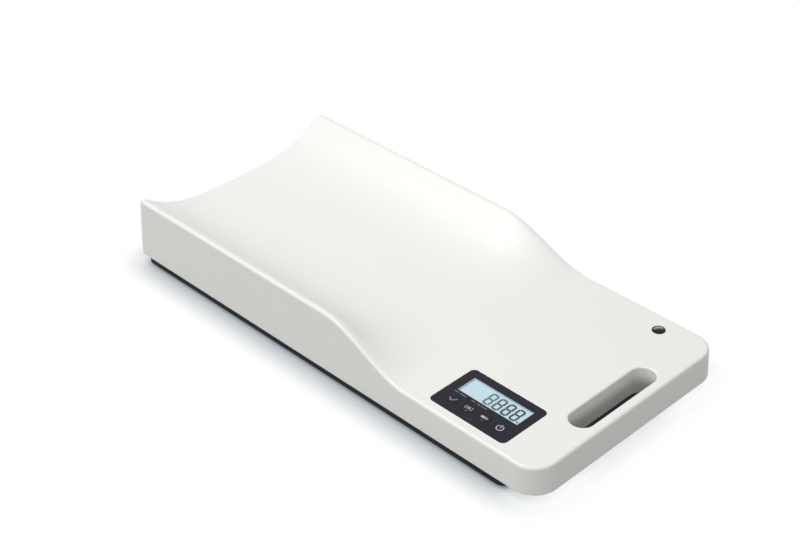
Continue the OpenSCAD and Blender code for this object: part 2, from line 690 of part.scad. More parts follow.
// ---- Battery bay ----

cells = 4;
wired_cells = [0, cells - 1];
cell_pitch = battery_d + 0.6;
function cell_y(i) = (i - (cells - 1)/2)*cell_pitch;
contact_t = 0.5;
spring_h = 5;
button_h = 1;
bay_wall = 2;
bay_l = battery_l + spring_h + button_h + 2*contact_t;
bay_w = cells*cell_pitch + 1;
bay_x = from_handle(bay_handle_gap);
battery_z = base_z + door_t + 0.3 + battery_d/2;
bay_roof_z = battery_z + battery_d/2 + 0.5 + bay_wall;
door_gap = 0.25;
door_x0 = bay_x - bay_l/2 - 3;
door_x1 = bay_x + bay_l/2 + 3;
door_w = bay_w + 6;
door_pin_d = 1.4;
door_pin_l = 3;
// The door turns about the middle of its rounded edge
door_axis = [door_x1 - door_t/2, base_z + door_t/2];

// The door's two pins, or the bores for them
module door_pins(l, d)
    for (s = [-1, 1]) translate([door_axis[0], s*(door_w + l)/2, door_axis[1]])
        rotate([90, 0, 0]) cylinder(d = d, h = l + 2*overlap, center = true);

module battery_door() color(charcoal) {
    latch_l = 12;
    latch_w = 16;
    slit_w = 1;
    grooves = 4;
    groove_pitch = 4;
    groove_l = 24;
    groove_w = 1.5;
    groove_t = 0.6;
    difference() {
        union() {
            block(door_x0, door_axis[0], -door_w/2, door_w/2, base_z, base_z + door_t);
            translate([door_axis[0], 0, door_axis[1]]) rotate([90, 0, 0])
                cylinder(d = door_t - 2*overlap, h = door_w, center = true);
        }
        // slits that free the latch
        for (s = [-1, 1]) block(door_x0 - 1, door_x0 + latch_l, (s*latch_w - slit_w)/2,
            (s*latch_w + slit_w)/2, base_z - 1, base_z + door_t + 1);
        // grip grooves
        for (i = [1:grooves]) let (x = door_x0 + latch_l + i*groove_pitch)
            block(x, x + groove_w, -groove_l/2, groove_l/2, base_z - 1, base_z + groove_t);
    }
    door_pins(door_pin_l, door_pin_d);
}

// Cell i lies along X; every second one is turned end for end
module in_bay(i) translate([bay_x, cell_y(i), battery_z])
    rotate([0, 0, i % 2 == 0 ? 0 : 180]) children();

module battery_cells() color([0.25, 0.45, 0.4]) {
    nub_h = 1.2;
    for (i = [0:cells - 1]) in_bay(i) translate([-bay_l/2 + contact_t + spring_h, 0, 0]) rotate([0, 90, 0]) {
        cylinder(d = battery_d, h = battery_l - nub_h);
        cylinder(d = 5.5, h = battery_l);
    }
}

module battery_contacts() color(steel) {
    plate_w = 11;
    for (i = [0:cells - 1]) in_bay(i) {
        translate([-bay_l/2, -plate_w/2, -plate_w/2]) cube([contact_t, plate_w, plate_w]);
        translate([-bay_l/2 + contact_t - overlap, 0, 0]) rotate([0, 90, 0])
            cylinder(d1 = 9, d2 = 5, h = spring_h + overlap);
        translate([bay_l/2 - contact_t, -plate_w/2, -plate_w/2]) cube([contact_t, plate_w, plate_w]);
        translate([bay_l/2 - contact_t - button_h, 0, 0]) rotate([0, 90, 0])
            cylinder(d = 6, h = button_h + overlap);
    }
}

// ---- Console ----

module display_panel() color(panel_black) difference() {
    translate([panel_c[0], panel_c[1], panel_z])
        linear_extrude(panel_t) rounded_rect(panel_l, panel_w, panel_corner_r);
    translate([window_c[0], window_c[1], panel_z - 1])
        linear_extrude(panel_t + 2) square([window_l, window_w], center = true);
    for (p = key_at) post(p, key_d + 2*key_side_gap, panel_z - 1, console_z + 1);
}

module display_window() color([0.75, 0.85, 0.92])
    translate([window_c[0], window_c[1], panel_z]) linear_extrude(panel_t)
        square([window_l, window_w] - [fit_gap, fit_gap]*2, center = true);

module lcd_glass() color([0.62, 0.74, 0.78])
    translate([window_c[0], window_c[1], panel_z - glass_t]) linear_extrude(glass_t)
        square([glass_l, glass_w], center = true);

module lcd_lightbox() color([0.9, 0.9, 0.88])
    translate([window_c[0], window_c[1], board_top_z]) linear_extrude(lightbox_t)
        square([glass_l - 2, glass_w - 2], center = true);

// A key stands a little proud of the panel and is held under it by its flange
module key(i) color(panel_black) {
    key_proud = 0.3;
    flange_z = panel_z - 0.05 - key_flange_t;
    post(key_at[i], key_d, flange_z + overlap, console_z + key_proud);
    post(key_at[i], key_flange_d, flange_z, flange_z + key_flange_t);
    post(key_at[i], key_stem_d, key_stem_z, flange_z + overlap);
}
module key_confirm() key(0);
module key_hold() key(1);
module key_feed() key(2);
module key_power() key(3);

module key_switches() color([0.3, 0.3, 0.32]) for (p = key_at) difference() {
    block(p[0] - switch_size/2, p[0] + switch_size/2, p[1] - switch_size/2, p[1] + switch_size/2,
        board_top_z, board_top_z + switch_h);
    post(p, key_stem_d + 2*key_side_gap, board_top_z + switch_floor_t, board_top_z + switch_h + 1);
}

module main_board() color([0.1, 0.35, 0.2]) difference() {
    block(panel_c[0] - board_l/2, panel_c[0] + board_l/2, panel_c[1] - board_w/2,
        panel_c[1] + board_w/2, board_z, board_top_z);
    for (p = board_holes) post(p, board_screw_d + hole_gap, board_z - 1, board_top_z + 1);
}

// Sockets for the load cell's lead and for the battery wires
socket_l = 10;
socket_w = 6;
socket_h = 5;
socket_z = board_z - socket_h;
socket_x = panel_c[0] - 0.31*board_l;
socket_at = [for (share = [0.03, 0.26]) [socket_x, panel_c[1] + share*board_w]];

// A part under the board
module under_board(p, l, w, h) block(p[0] - l/2, p[0] + l/2, p[1] - w/2, p[1] + w/2, board_z - h, board_z);

module board_parts() color([0.15, 0.15, 0.16]) {
    processor_l = 12;
    processor_t = 1.6;
    amplifier_l = 7;
    amplifier_w = 5;
    amplifier_t = 1.4;
    for (p = socket_at) under_board(p, socket_l, socket_w, socket_h);
    under_board(panel_c, processor_l, processor_l, processor_t);
    under_board(panel_c + [0.16*board_l, -0.26*board_w], amplifier_l, amplifier_w, amplifier_t);
}

module board_screws() color(steel)
    for (p = board_holes) pan_screw(p, 0.75*board_screw_d, board_z, board_t + board_screw_reach, 1);

module buzzer() color([0.12, 0.12, 0.12]) difference() {
    buzzer_c = panel_c + [0.28*board_l, 0.1*board_w];
    buzzer_d = 12;
    buzzer_h = 4.5;
    port_d = 2;
    post(buzzer_c, buzzer_d, board_z - buzzer_h, board_z);
    post(buzzer_c, port_d, board_z - buzzer_h - 1, board_z - 0.65*buzzer_h);
}

// ---- Leads ----

cell_lead_d = 3.2;
wire_d = 1.8;
wire_pitch = 3;
lead_sides = 8;

function unit(v) = v/norm(v);
// A point at a share t of the way from b to c, on the smooth curve through a, b, c and d
function curve_point(a, b, c, d, t) =
    (2*b + (c - a)*t + (2*a - 5*b + 4*c - d)*t*t + (3*b - a - 3*c + d)*t*t*t)/2;
function curve(p, steps) = let (n = len(p) - 1) concat(
    [for (i = [0:n - 1], k = [0:steps - 1])
        curve_point(p[max(i - 1, 0)], p[i], p[i + 1], p[min(i + 2, n)], k/steps)],
    [p[n]]);
// The way along the curve at each of its points q; it starts and ends square to the route's ends
function directions(q, p) = let (n = len(q) - 1, m = len(p) - 1) concat([unit(p[1] - p[0])],
    [for (i = [1:n - 1]) unit(q[i + 1] - q[i - 1])], [unit(p[m] - p[m - 1])]);
// A sideways direction, carried along the curve without a twist
function carried(side, way) = unit(side - (side*way)*way);
function sideways(d, i = 0) =
    i == 0 ? [carried([1, 2, 3], d[0])] :
    let (before = sideways(d, i - 1)) concat(before, [carried(before[i - 1], d[i])]);

// A round lead along a curve through the points of a route
module lead(route, d) {
    q = curve(route, 4);
    ways = directions(q, route);
    sides = sideways(ways, len(q) - 1);
    points = [for (i = [0:len(q) - 1], k = [0:lead_sides - 1]) let (a = 360*k/lead_sides)
        q[i] + d/2*(cos(a)*sides[i] + sin(a)*cross(ways[i], sides[i]))];
    end = lead_sides*(len(q) - 1);
    faces = concat(
        [[for (k = [0:lead_sides - 1]) k]],
        [for (i = [0:len(q) - 2], k = [0:lead_sides - 1])
            let (a = i*lead_sides + k, b = i*lead_sides + (k + 1)%lead_sides)
            each [[a, a + lead_sides, b + lead_sides], [a, b + lead_sides, b]]],
        [[for (k = [lead_sides - 1:-1:0]) end + k]]);
    polyhedron(points, faces, convexity = 6);
}

// The lead leaves the load cell's side, lies on the base's frame and rises to its socket
cell_lead_z = frame_top_z + cell_lead_d/2 + lie_gap;
channel_y = -(cell_w + spine_w)/4;    // between the load cell and the spine's turned-up edge
cell_lead_route = [
    [cell_x + 26, -cell_w/2, cell_z + cell_h/2],
    [cell_x + 26, -cell_w/2 - 5, cell_z + cell_h/2],
    [cell_x + 31, channel_y, cell_z + 5],
    [cell_x + 38, channel_y, cell_lead_z + 1.2],
    [cell_x + 46, channel_y, cell_lead_z],
    [cross_x - 6, channel_y, cell_lead_z],
    [cross_x + 9, channel_y - 16, cell_lead_z],
    [cross_x + 11, 36 - foot_y, cell_lead_z],
    [cross_x + 27, 13 - foot_y, cell_lead_z],
    [socket_x - 29, 11 - foot_y, cell_lead_z],
    [socket_x - 16, 12 - foot_y, cell_lead_z + 1.2],
    [socket_x - 5, socket_at[0][1] - 1, cell_lead_z + 6],
    [socket_x, socket_at[0][1], socket_z - 6],
    [socket_x, socket_at[0][1], socket_z]];
module cell_lead() color([0.35, 0.35, 0.36]) lead(cell_lead_route, cell_lead_d);

// Each wire leaves a battery contact through the bay's wall, lies on the base's floor and rises
wire_z = base_floor_z + wire_d/2 + lie_gap;
wire_x = bay_x - bay_l/2;
function wire_route(i) = let (
    near = i == 0,
    y = cell_y(i),
    run_x = wire_x - (near ? 15 : 15 + wire_pitch),
    end_x = socket_x + (near ? wire_pitch : -wire_pitch)/2,
    end_y = socket_at[1][1]) [
    [wire_x, y, battery_z],
    [wire_x - 3, y, battery_z],
    [wire_x - 7, y, battery_z],
    [run_x + 3, y - 2, battery_z - 3],
    [run_x, y - 8, wire_z + 0.8],
    [run_x, y - 15, wire_z],
    [run_x, (end_y + y)/2 - 4, wire_z],
    [run_x + 1, end_y + 20, wire_z],
    [run_x + 4, end_y + 12, wire_z + 1],
    [run_x + 10, end_y + 3, wire_z + 8],
    [end_x, end_y, socket_z - 6],
    [end_x, end_y, socket_z]];
module battery_wires() color([0.6, 0.1, 0.08]) for (i = wired_cells) lead(wire_route(i), wire_d);

// ---- Spirit level ----

level_lens_t = 1.5;
level_well = 4;
module level_cup() color([0.2, 0.2, 0.2]) difference() {
    union() {
        post(level_c, level_d - 1, console_z - level_h, console_z + overlap);
        post(level_c, level_d, console_z, console_z + level_stand);
    }
    post(level_c, level_bore_d, console_z + level_stand - level_well, console_z + level_stand + 1);
}

module level_lens() color([0.35, 0.37, 0.36]) intersection() {
    rise = 1;
    curve_r = (level_bore_d*level_bore_d/4 + rise*rise)/(2*rise);
    lens_z = console_z + level_stand - level_lens_t;
    post(level_c, level_bore_d, lens_z, console_z + level_stand + rise);
    translate([level_c[0], level_c[1], console_z + level_stand + rise - curve_r])
        sphere(r = curve_r, $fn = 96);
}

module level_bubble() color([0.7, 0.8, 0.6]) {
    bubble_t = 0.9;
    post(level_c, 4.2, console_z + level_stand - level_lens_t - bubble_t,
        console_z + level_stand - level_lens_t);
}

tray_shell();
tray_frame();
tray_screws();
load_cell();
gauge_seals();
cell_spacer_upper();
cell_spacer_lower();
cell_bolts_upper();
cell_bolts_lower();
base_frame();
base_pan();
base_screws();
overload_stops();
foot_inserts();
foot_pad_1();
foot_pad_2();
foot_pad_3();
foot_pad_4();
foot_screw_1();
foot_screw_2();
foot_screw_3();
foot_screw_4();
battery_door();
battery_cells();
battery_contacts();
display_panel();
display_window();
lcd_glass();
lcd_lightbox();
key_confirm();
key_hold();
key_feed();
key_power();
key_switches();
main_board();
board_parts();
board_screws();
buzzer();
cell_lead();
battery_wires();
level_cup();
level_lens();
level_bubble();
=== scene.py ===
# %% [markdown]
# A baby weighing scale, dressed for its portrait. The real one is a white moulded tray with a
# trough for a lying baby, a flat console with a display, and a low dark base on four levelling
# feet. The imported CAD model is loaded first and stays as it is: this script gives it finishes,
# and remodels the pieces whose curves or soft edges a CAD facet can't show.

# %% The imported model
import math

import bmesh
import bpy
from mathutils import Matrix, Vector


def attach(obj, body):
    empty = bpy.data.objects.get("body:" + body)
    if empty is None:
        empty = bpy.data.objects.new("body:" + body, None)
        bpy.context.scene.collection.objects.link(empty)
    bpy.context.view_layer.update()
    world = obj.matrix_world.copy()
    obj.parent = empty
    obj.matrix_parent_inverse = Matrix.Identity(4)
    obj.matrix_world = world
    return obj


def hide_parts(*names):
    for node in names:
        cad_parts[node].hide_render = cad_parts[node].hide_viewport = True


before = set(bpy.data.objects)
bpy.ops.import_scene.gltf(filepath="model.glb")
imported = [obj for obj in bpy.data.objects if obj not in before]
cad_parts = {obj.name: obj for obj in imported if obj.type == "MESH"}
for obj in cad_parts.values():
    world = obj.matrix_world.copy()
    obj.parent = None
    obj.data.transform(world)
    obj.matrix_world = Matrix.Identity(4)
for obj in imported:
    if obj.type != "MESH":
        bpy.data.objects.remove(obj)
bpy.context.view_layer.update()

# %% [markdown]
# Sizes and places that several pieces share, in the CAD's millimetres. X runs from the open end
# to the handle end, and the user stands on the -Y side. A place is the middle of a piece.

# %% The layout
TRAY_L, TRAY_W = 630, 296
SKIRT_Z = 13                                   # lower edge of the skirt
CREST_H, BED_H, CONSOLE_H = 73, 38.7, 34       # heights above that edge
CONSOLE_Z = SKIRT_Z + CONSOLE_H
SLOT, SLOT_L, SLOT_W, SLOT_WALL = (287.4, 0), 125, 28, 2.5
PANEL, PANEL_L, PANEL_W = (206.4, -99.85), 103.8, 68.7
PANEL_Z = CONSOLE_Z - 2                        # underside of the panel
WINDOW, WINDOW_L, WINDOW_W = (206.4, -89.5), 80.2, 25.2
KEYS = {"confirm": 173.7, "hold": 195.5, "feed": 217.3, "power": 239.1}
KEY_Y = -117.0
LEVEL = (250, 122)
FEET = ((-267, -112), (-267, 112), (241, -112), (241, 112))

# %% [markdown]
# The camera comes before any piece, so that each can be judged in the final view. The scale
# is seen from its handle end and its user's side, about 35 degrees above the table, through a
# long lens. A camera looks along its own -Z axis, so its axes are built from the way back to it.

# %% The camera
AZIMUTH, ELEVATION, ROLL = math.radians(45.84), math.radians(34.84), math.radians(-0.81)
LOOK_AT = Vector((-0.0561, 0.0328, 0.013))
DISTANCE = 1.9459

back = Vector((math.sin(AZIMUTH)*math.cos(ELEVATION), -math.cos(AZIMUTH)*math.cos(ELEVATION),
               math.sin(ELEVATION)))
right = Vector((math.cos(AZIMUTH), math.sin(AZIMUTH), 0))
up = back.cross(right)
camera_axes = Matrix((right*math.cos(ROLL) + up*math.sin(ROLL),
                      up*math.cos(ROLL) - right*math.sin(ROLL), back)).transposed()
camera_data = bpy.data.cameras.new("camera")
camera_data.lens = 75.22
camera_data.sensor_width = 36
camera = bpy.data.objects.new("camera", camera_data)
camera.matrix_world = Matrix.Translation(LOOK_AT + back*DISTANCE) @ camera_axes.to_4x4()
bpy.context.scene.collection.objects.link(camera)
bpy.context.scene.camera = camera
print("camera at", [round(v, 3) for v in camera.location])

# %% [markdown]
# A product studio is mostly soft light. A dim dome fills every side, and two wide softboxes hang
# high on the user's side: one over the open end, one off the handle end. So the trough's far slope
# is the brightest, its near slope a shade darker, and the long wall lighter than the handle end.
# Together they light a level surface at about one, so a colour renders as it is written.

# %% The studio's lights
SOFTBOX_SIZE = 2.4
DOME_COLOUR = (0.366, 0.368, 0.374, 1)


def softbox(name, place, power):
    """A square lamp at a place, turned towards the scale."""
    data = bpy.data.lights.new(name, "AREA")
    data.shape = "SQUARE"
    data.size, data.energy = SOFTBOX_SIZE, power
    lamp = bpy.data.objects.new(name, data)
    lamp.location = place
    lamp.rotation_euler = (-Vector(place)).to_track_quat("-Z", "Y").to_euler()
    bpy.context.scene.collection.objects.link(lamp)


softbox("open_end_lamp", (-1.28, -1.05, 3.84), 104)
softbox("handle_end_lamp", (2.95, -4.8, 3.84), 95)


def add_node(tree, kind, inputs=None, **settings):
    """A shader node. Its inputs, by name or number, take a value or another node's output."""
    node = tree.nodes.new(kind)
    for setting, value in settings.items():
        setattr(node, setting, value)
    for key, value in (inputs or {}).items():
        if isinstance(value, bpy.types.NodeSocket):
            tree.links.new(value, node.inputs[key])
        else:
            node.inputs[key].default_value = value
    return node


def calculate(tree, operation, *values):
    """The output of a Math node."""
    node = add_node(tree, "ShaderNodeMath", dict(enumerate(values)), operation=operation)
    return node.outputs[0]


def background_rays(tree):
    """1 for rays from the camera, in gloss or through glass, which should meet plain white."""
    rays = add_node(tree, "ShaderNodeLightPath").outputs
    direct = calculate(tree, "MAXIMUM", rays["Is Camera Ray"], rays["Is Glossy Ray"])
    return calculate(tree, "MAXIMUM", direct, rays["Is Transmission Ray"])


world = bpy.data.worlds.new("studio")
bpy.context.scene.world = world
world.use_nodes = True
world_tree = world.node_tree
world_tree.nodes.clear()
dome = add_node(world_tree, "ShaderNodeBackground", {"Color": DOME_COLOUR})
plain = add_node(world_tree, "ShaderNodeBackground", {"Color": (1, 1, 1, 1)})
choose = add_node(world_tree, "ShaderNodeMixShader",
                  {0: background_rays(world_tree), 1: dome.outputs[0], 2: plain.outputs[0]})
add_node(world_tree, "ShaderNodeOutputWorld", {"Surface": choose.outputs[0]})
bpy.context.scene.view_settings.view_transform = "Standard"

# %% [markdown]
# The floor is one large sheet. Light that bounces off it meets a mid grey, which keeps the walls
# of the tray from glowing, while the camera meets a white that only what stands near can darken.
# That soft shadow reaches 35 mm and has a bluish tint. As on the photo, it is full on the user's
# side and at the open end, weaker along the handle end and nearly gone at the far corner.

# %% The floor
FLOOR_HALF = 12
SHADOW_REACH = 0.035
SHADOW_TINT = (1.06, 0.96, 0.9)       # how fast red, green and blue darken
HANDLE_END_X = (0.27, 0.33)           # between these the shadow changes to the weaker one,
FAR_CORNER_Y = (0.09, 0.15)           # and between these that one fades
FAR_CORNER_SHARE = 0.2
BOUNCE_GREY = 0.36

floor_bm = bmesh.new()
bmesh.ops.create_grid(floor_bm, x_segments=1, y_segments=1, size=FLOOR_HALF)
floor_mesh = bpy.data.meshes.new("floor")
floor_bm.to_mesh(floor_mesh)
floor_bm.free()
floor = bpy.data.objects.new("floor", floor_mesh)
bpy.context.scene.collection.objects.link(floor)

floor_white = bpy.data.materials.new("floor_white")
floor_white.use_nodes = True
floor_tree = floor_white.node_tree
floor_tree.nodes.clear()
floor_place = add_node(floor_tree, "ShaderNodeTexCoord").outputs["Object"]
floor_xyz = add_node(floor_tree, "ShaderNodeSeparateXYZ", {0: floor_place}).outputs
open_sky = add_node(floor_tree, "ShaderNodeAmbientOcclusion", {"Distance": SHADOW_REACH},
                    samples=16)
shade = calculate(floor_tree, "SUBTRACT", 1, open_sky.outputs["AO"])
at_handle = add_node(floor_tree, "ShaderNodeMapRange",
                     {"Value": floor_xyz["X"], "From Min": HANDLE_END_X[0],
                      "From Max": HANDLE_END_X[1]})
at_far_corner = add_node(floor_tree, "ShaderNodeMapRange",
                         {"Value": floor_xyz["Y"], "From Min": FAR_CORNER_Y[0],
                          "From Max": FAR_CORNER_Y[1], "To Min": 1, "To Max": FAR_CORNER_SHARE})
weaker = calculate(floor_tree, "MULTIPLY", calculate(floor_tree, "MULTIPLY", shade, shade),
                   at_far_corner.outputs[0])
shade_here = add_node(floor_tree, "ShaderNodeMix",
                      {"Factor": at_handle.outputs[0], "A": shade, "B": weaker})
lit = calculate(floor_tree, "SUBTRACT", 1, shade_here.outputs[0])
channels = [calculate(floor_tree, "POWER", lit, tint) for tint in SHADOW_TINT]
floor_colour = add_node(floor_tree, "ShaderNodeCombineColor", dict(enumerate(channels)))
bounce = add_node(floor_tree, "ShaderNodeBsdfDiffuse", {"Color": (*[BOUNCE_GREY]*3, 1)})
seen = add_node(floor_tree, "ShaderNodeEmission", {"Color": floor_colour.outputs[0]})
floor_mix = add_node(floor_tree, "ShaderNodeMixShader",
                     {0: background_rays(floor_tree), 1: bounce.outputs[0], 2: seen.outputs[0]})
add_node(floor_tree, "ShaderNodeOutputMaterial", {"Surface": floor_mix.outputs[0]})
floor_mesh.materials.append(floor_white)

# %% [markdown]
# Moulded plastic looks real through small things: a slight wander of its colour, patches that are
# a little smoother than others, and a fine grain from the mould. One helper builds that from noise
# on Object coordinates, in metres, so the grain has its true size on every piece. Two more mix in
# a second tone by place: shade in the carrying slot, and light in the spirit level.

# %% Helpers for finishes
SLOT_SHADE, SHADE_SHARE = (0.05, 0.05, 0.03), 0.6
SHADE_TOP, SHADE_DEEP = 0.041, 0.022  # heights between which the slot's wall darkens
# the painted light on the spirit level's lens: its colour and share, and where it starts and ends
LEVEL_PAINTED_LIGHT, LIGHT_SHARE = (0.42, 0.43, 0.4), 0.9
LIGHT_EDGE = (-0.002, 0.006)          # from the level's middle, towards the far open corner


def finish(name, colour, roughness, grain=0.00035, depth=0.05, wander=0.04, metal=0.0,
           specular=0.5, patch=0.03, rough_range=0.05, stretch=(1, 1, 1), alpha=1.0, glow=0.0):
    """A procedural finish. grain and patch are feature sizes in metres, depth is the strength of
    the grain, wander is the share by which the colour varies, and stretch draws the grain out
    along an axis, as brushing does."""
    material = bpy.data.materials.new(name)
    material.use_nodes = True
    tree = material.node_tree
    shader = tree.nodes["Principled BSDF"]
    shader.inputs["Metallic"].default_value = metal
    shader.inputs["Specular IOR Level"].default_value = specular
    shader.inputs["Alpha"].default_value = alpha
    place = add_node(tree, "ShaderNodeTexCoord").outputs["Object"]
    drawn = add_node(tree, "ShaderNodeMapping", {"Vector": place, "Scale": stretch}).outputs[0]

    broad = add_node(tree, "ShaderNodeTexNoise", {"Vector": drawn, "Scale": 1/patch, "Detail": 3})
    tint = add_node(tree, "ShaderNodeMix",
                    {"Factor": broad.outputs["Fac"],
                     "A": (*[c*(1 - wander) for c in colour], 1),
                     "B": (*[min(1, c*(1 + wander)) for c in colour], 1)}, data_type="RGBA")
    tree.links.new(tint.outputs["Result"], shader.inputs["Base Color"])
    if glow:
        tree.links.new(tint.outputs["Result"], shader.inputs["Emission Color"])
        shader.inputs["Emission Strength"].default_value = glow

    rough = add_node(tree, "ShaderNodeMapRange",
                     {"Value": broad.outputs["Fac"], "To Min": max(0.02, roughness - rough_range),
                      "To Max": roughness + rough_range})
    tree.links.new(rough.outputs["Result"], shader.inputs["Roughness"])

    fine = add_node(tree, "ShaderNodeTexNoise", {"Vector": drawn, "Scale": 1/grain, "Detail": 2})
    bump = add_node(tree, "ShaderNodeBump",
                    {"Height": fine.outputs["Fac"], "Strength": depth, "Distance": grain})
    tree.links.new(bump.outputs["Normal"], shader.inputs["Normal"])
    return material


def place_in(tree):
    """The place on the piece, as three outputs."""
    place = add_node(tree, "ShaderNodeTexCoord").outputs["Object"]
    return add_node(tree, "ShaderNodeSeparateXYZ", {0: place}).outputs


def toned(material, colour, share):
    """Mixes a second colour into a finish, by a share from 0 to 1 of another node."""
    tree = material.node_tree
    base = tree.nodes["Principled BSDF"].inputs["Base Color"]
    tone = add_node(tree, "ShaderNodeMix", {"Factor": share, "A": base.links[0].from_socket,
                                            "B": (*colour, 1)}, data_type="RGBA")
    tree.links.new(tone.outputs["Result"], base)


def shade_slot(material):
    """Makes the walls of the carrying slot darker with depth, where little light comes in."""
    tree = material.node_tree
    place = place_in(tree)
    x_reach, y_reach = (0.0007 + size/2000 for size in (SLOT_W, SLOT_L))
    along = calculate(tree, "COMPARE", place["X"], SLOT[0]/1000, x_reach)
    across = calculate(tree, "COMPARE", place["Y"], SLOT[1]/1000, y_reach)
    depth = add_node(tree, "ShaderNodeMapRange",
                     {"Value": place["Z"], "From Min": SHADE_TOP, "From Max": SHADE_DEEP,
                      "To Max": SHADE_SHARE}, interpolation_type="SMOOTHSTEP")
    inside = calculate(tree, "MULTIPLY", along, across)
    toned(material, SLOT_SHADE, calculate(tree, "MULTIPLY", inside, depth.outputs[0]))


def paint_level_light(material):
    """Paints the far half of the spirit level lighter, a painted light for clear plastic over a
    dark cup.
    """
    tree = material.node_tree
    place = place_in(tree)
    x = calculate(tree, "SUBTRACT", place["X"], LEVEL[0]/1000)
    y = calculate(tree, "SUBTRACT", place["Y"], LEVEL[1]/1000)
    light = add_node(tree, "ShaderNodeMapRange",
                     {"Value": calculate(tree, "SUBTRACT", y, x), "From Min": LIGHT_EDGE[0],
                      "From Max": LIGHT_EDGE[1], "To Max": LIGHT_SHARE},
                     interpolation_type="SMOOTHSTEP")
    toned(material, LEVEL_PAINTED_LIGHT, light.outputs[0])


# %% Finishes of the pieces that show from above
tray_white = finish("tray_white", (0.855, 0.855, 0.815), 0.38, depth=0.02, wander=0.008,
                    patch=0.12)
shade_slot(tray_white)
base_charcoal = finish("base_charcoal", (0.011, 0.013, 0.018), 0.6, grain=0.0006, depth=0.25,
                       wander=0.15, specular=0.2)
panel_dark = finish("panel_dark", (0.0085, 0.007, 0.016), 0.22, depth=0.03, wander=0.12,
                    specular=0.2)
key_dark = finish("key_dark", (0.0085, 0.007, 0.016), 0.22, depth=0.03, wander=0.12, specular=0.2)
key_print = finish("key_print", (0.5, 0.49, 0.51), 0.5, depth=0.05)
dim_print = finish("dim_print", (0.25, 0.25, 0.27), 0.5, depth=0.05)
label_print = finish("label_print", (0.2, 0.2, 0.23), 0.5, depth=0.05)
lcd_blue = finish("lcd_blue", (0.45, 0.6, 0.67), 0.35, depth=0.01, wander=0.03, patch=0.04,
                  glow=0.22)
lcd_faint = finish("lcd_faint", (0.09, 0.12, 0.15), 0.4, depth=0.02)
lcd_middle = finish("lcd_middle", (0.02, 0.027, 0.04), 0.4, depth=0.02)
lcd_dark = finish("lcd_dark", (0.003, 0.004, 0.008), 0.4, depth=0.02, specular=0.2)
window_rim = finish("window_rim", (0.5, 0.6, 0.66), 0.5, depth=0.02)
window_clear = finish("window_clear", (0.75, 0.85, 0.92), 0.06, depth=0.0, wander=0.01, alpha=0.04)
level_black = finish("level_black", (0.01, 0.01, 0.009), 0.4, depth=0.05, wander=0.1, specular=0.1)
level_glass = finish("level_glass", (0.012, 0.012, 0.01), 0.1, depth=0.0, wander=0.05,
                     specular=0.2, rough_range=0.01)
# a painted light in the far half of the level's lens
paint_level_light(level_glass)
print("finishes so far:", len(bpy.data.materials))

# %% [markdown]
# Every new piece is drawn in the CAD's millimetres and ends the same way: normals outward, scaled
# to metres, shaded smooth except along real edges, and riding on its CAD body. Its shading leans
# on the larger faces, so that a flat face next to a rounded edge stays flat. The object stays at
# the origin, with its place in its mesh.

# %% Helpers that finish a piece and join solids
SHARP_SHADED = math.radians(32)       # edges sharper than this aren't shaded smooth


def add_piece(name, bm, material, body, replaces=(), outward=True):
    """Turns a bmesh in millimetres into a piece of the scale."""
    if outward:
        bmesh.ops.recalc_face_normals(bm, faces=bm.faces)
    bmesh.ops.scale(bm, vec=(0.001, 0.001, 0.001), verts=bm.verts)
    mesh = bpy.data.meshes.new(name)
    bm.to_mesh(mesh)
    bm.free()
    mesh.shade_smooth()
    mesh.set_sharp_from_angle(angle=SHARP_SHADED)
    mesh.materials.append(material)
    obj = bpy.data.objects.new(name, mesh)
    bpy.context.scene.collection.objects.link(obj)
    shading = obj.modifiers.new("even_shading", "WEIGHTED_NORMAL")
    shading.keep_sharp = True
    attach(obj, body)
    if replaces:
        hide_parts(*replaces)
    return obj


def extrude_rim(bm, rim):
    """Extrudes a run of edges, and gives back the new edges and their points."""
    made = bmesh.ops.extrude_edge_only(bm, edges=rim)["geom"]
    return ([g for g in made if isinstance(g, bmesh.types.BMEdge)],
            [g for g in made if isinstance(g, bmesh.types.BMVert)])


def extrude_up(bm, height):
    """Makes a flat outline into a block."""
    made = bmesh.ops.extrude_face_region(bm, geom=list(bm.faces))["geom"]
    raised = [g for g in made if isinstance(g, bmesh.types.BMVert)]
    bmesh.ops.translate(bm, verts=raised, vec=(0, 0, height))


def round_edges(bm, edges, width, segments, **settings):
    """Bevels edges by a width in millimetres."""
    bmesh.ops.bevel(bm, geom=edges, offset=width, offset_type="OFFSET", segments=segments,
                    profile=0.5, affect="EDGES", material=-1, **settings)


def modified(bm, kind, **settings):
    """Runs one modifier on a bmesh and gives back the result."""
    mesh = bpy.data.meshes.new("draft")
    bm.to_mesh(mesh)
    bm.free()
    draft = bpy.data.objects.new("draft", mesh)
    bpy.context.scene.collection.objects.link(draft)
    modifier = draft.modifiers.new(kind, kind)
    for setting, value in settings.items():
        setattr(modifier, setting, value)
    done = draft.evaluated_get(bpy.context.evaluated_depsgraph_get())
    result = bmesh.new()
    result.from_mesh(done.to_mesh())
    done.to_mesh_clear()
    bpy.data.objects.remove(draft)
    bpy.data.meshes.remove(mesh)
    return result


def combine(bm, tool, operation):
    """Adds a closed solid (UNION) or cuts it away (DIFFERENCE)."""
    mesh = bpy.data.meshes.new("tool")
    bmesh.ops.recalc_face_normals(tool, faces=tool.faces)
    tool.to_mesh(mesh)
    tool.free()
    cutter = bpy.data.objects.new("tool", mesh)
    bpy.context.scene.collection.objects.link(cutter)
    result = modified(bm, "BOOLEAN", operation=operation, solver="MANIFOLD", object=cutter)
    bpy.data.objects.remove(cutter)
    bpy.data.meshes.remove(mesh)
    return result


# %% [markdown]
# Most parts of the console are upright blocks with rounded corners: the panel, its recess, the
# window, the carrying slot and round posts. One helper draws them all. It bevels the corners of
# a rectangle, then extrudes it upward. A flare opens the top outward in a quarter circle, which
# as a cutter leaves the soft lip that a moulded opening has.

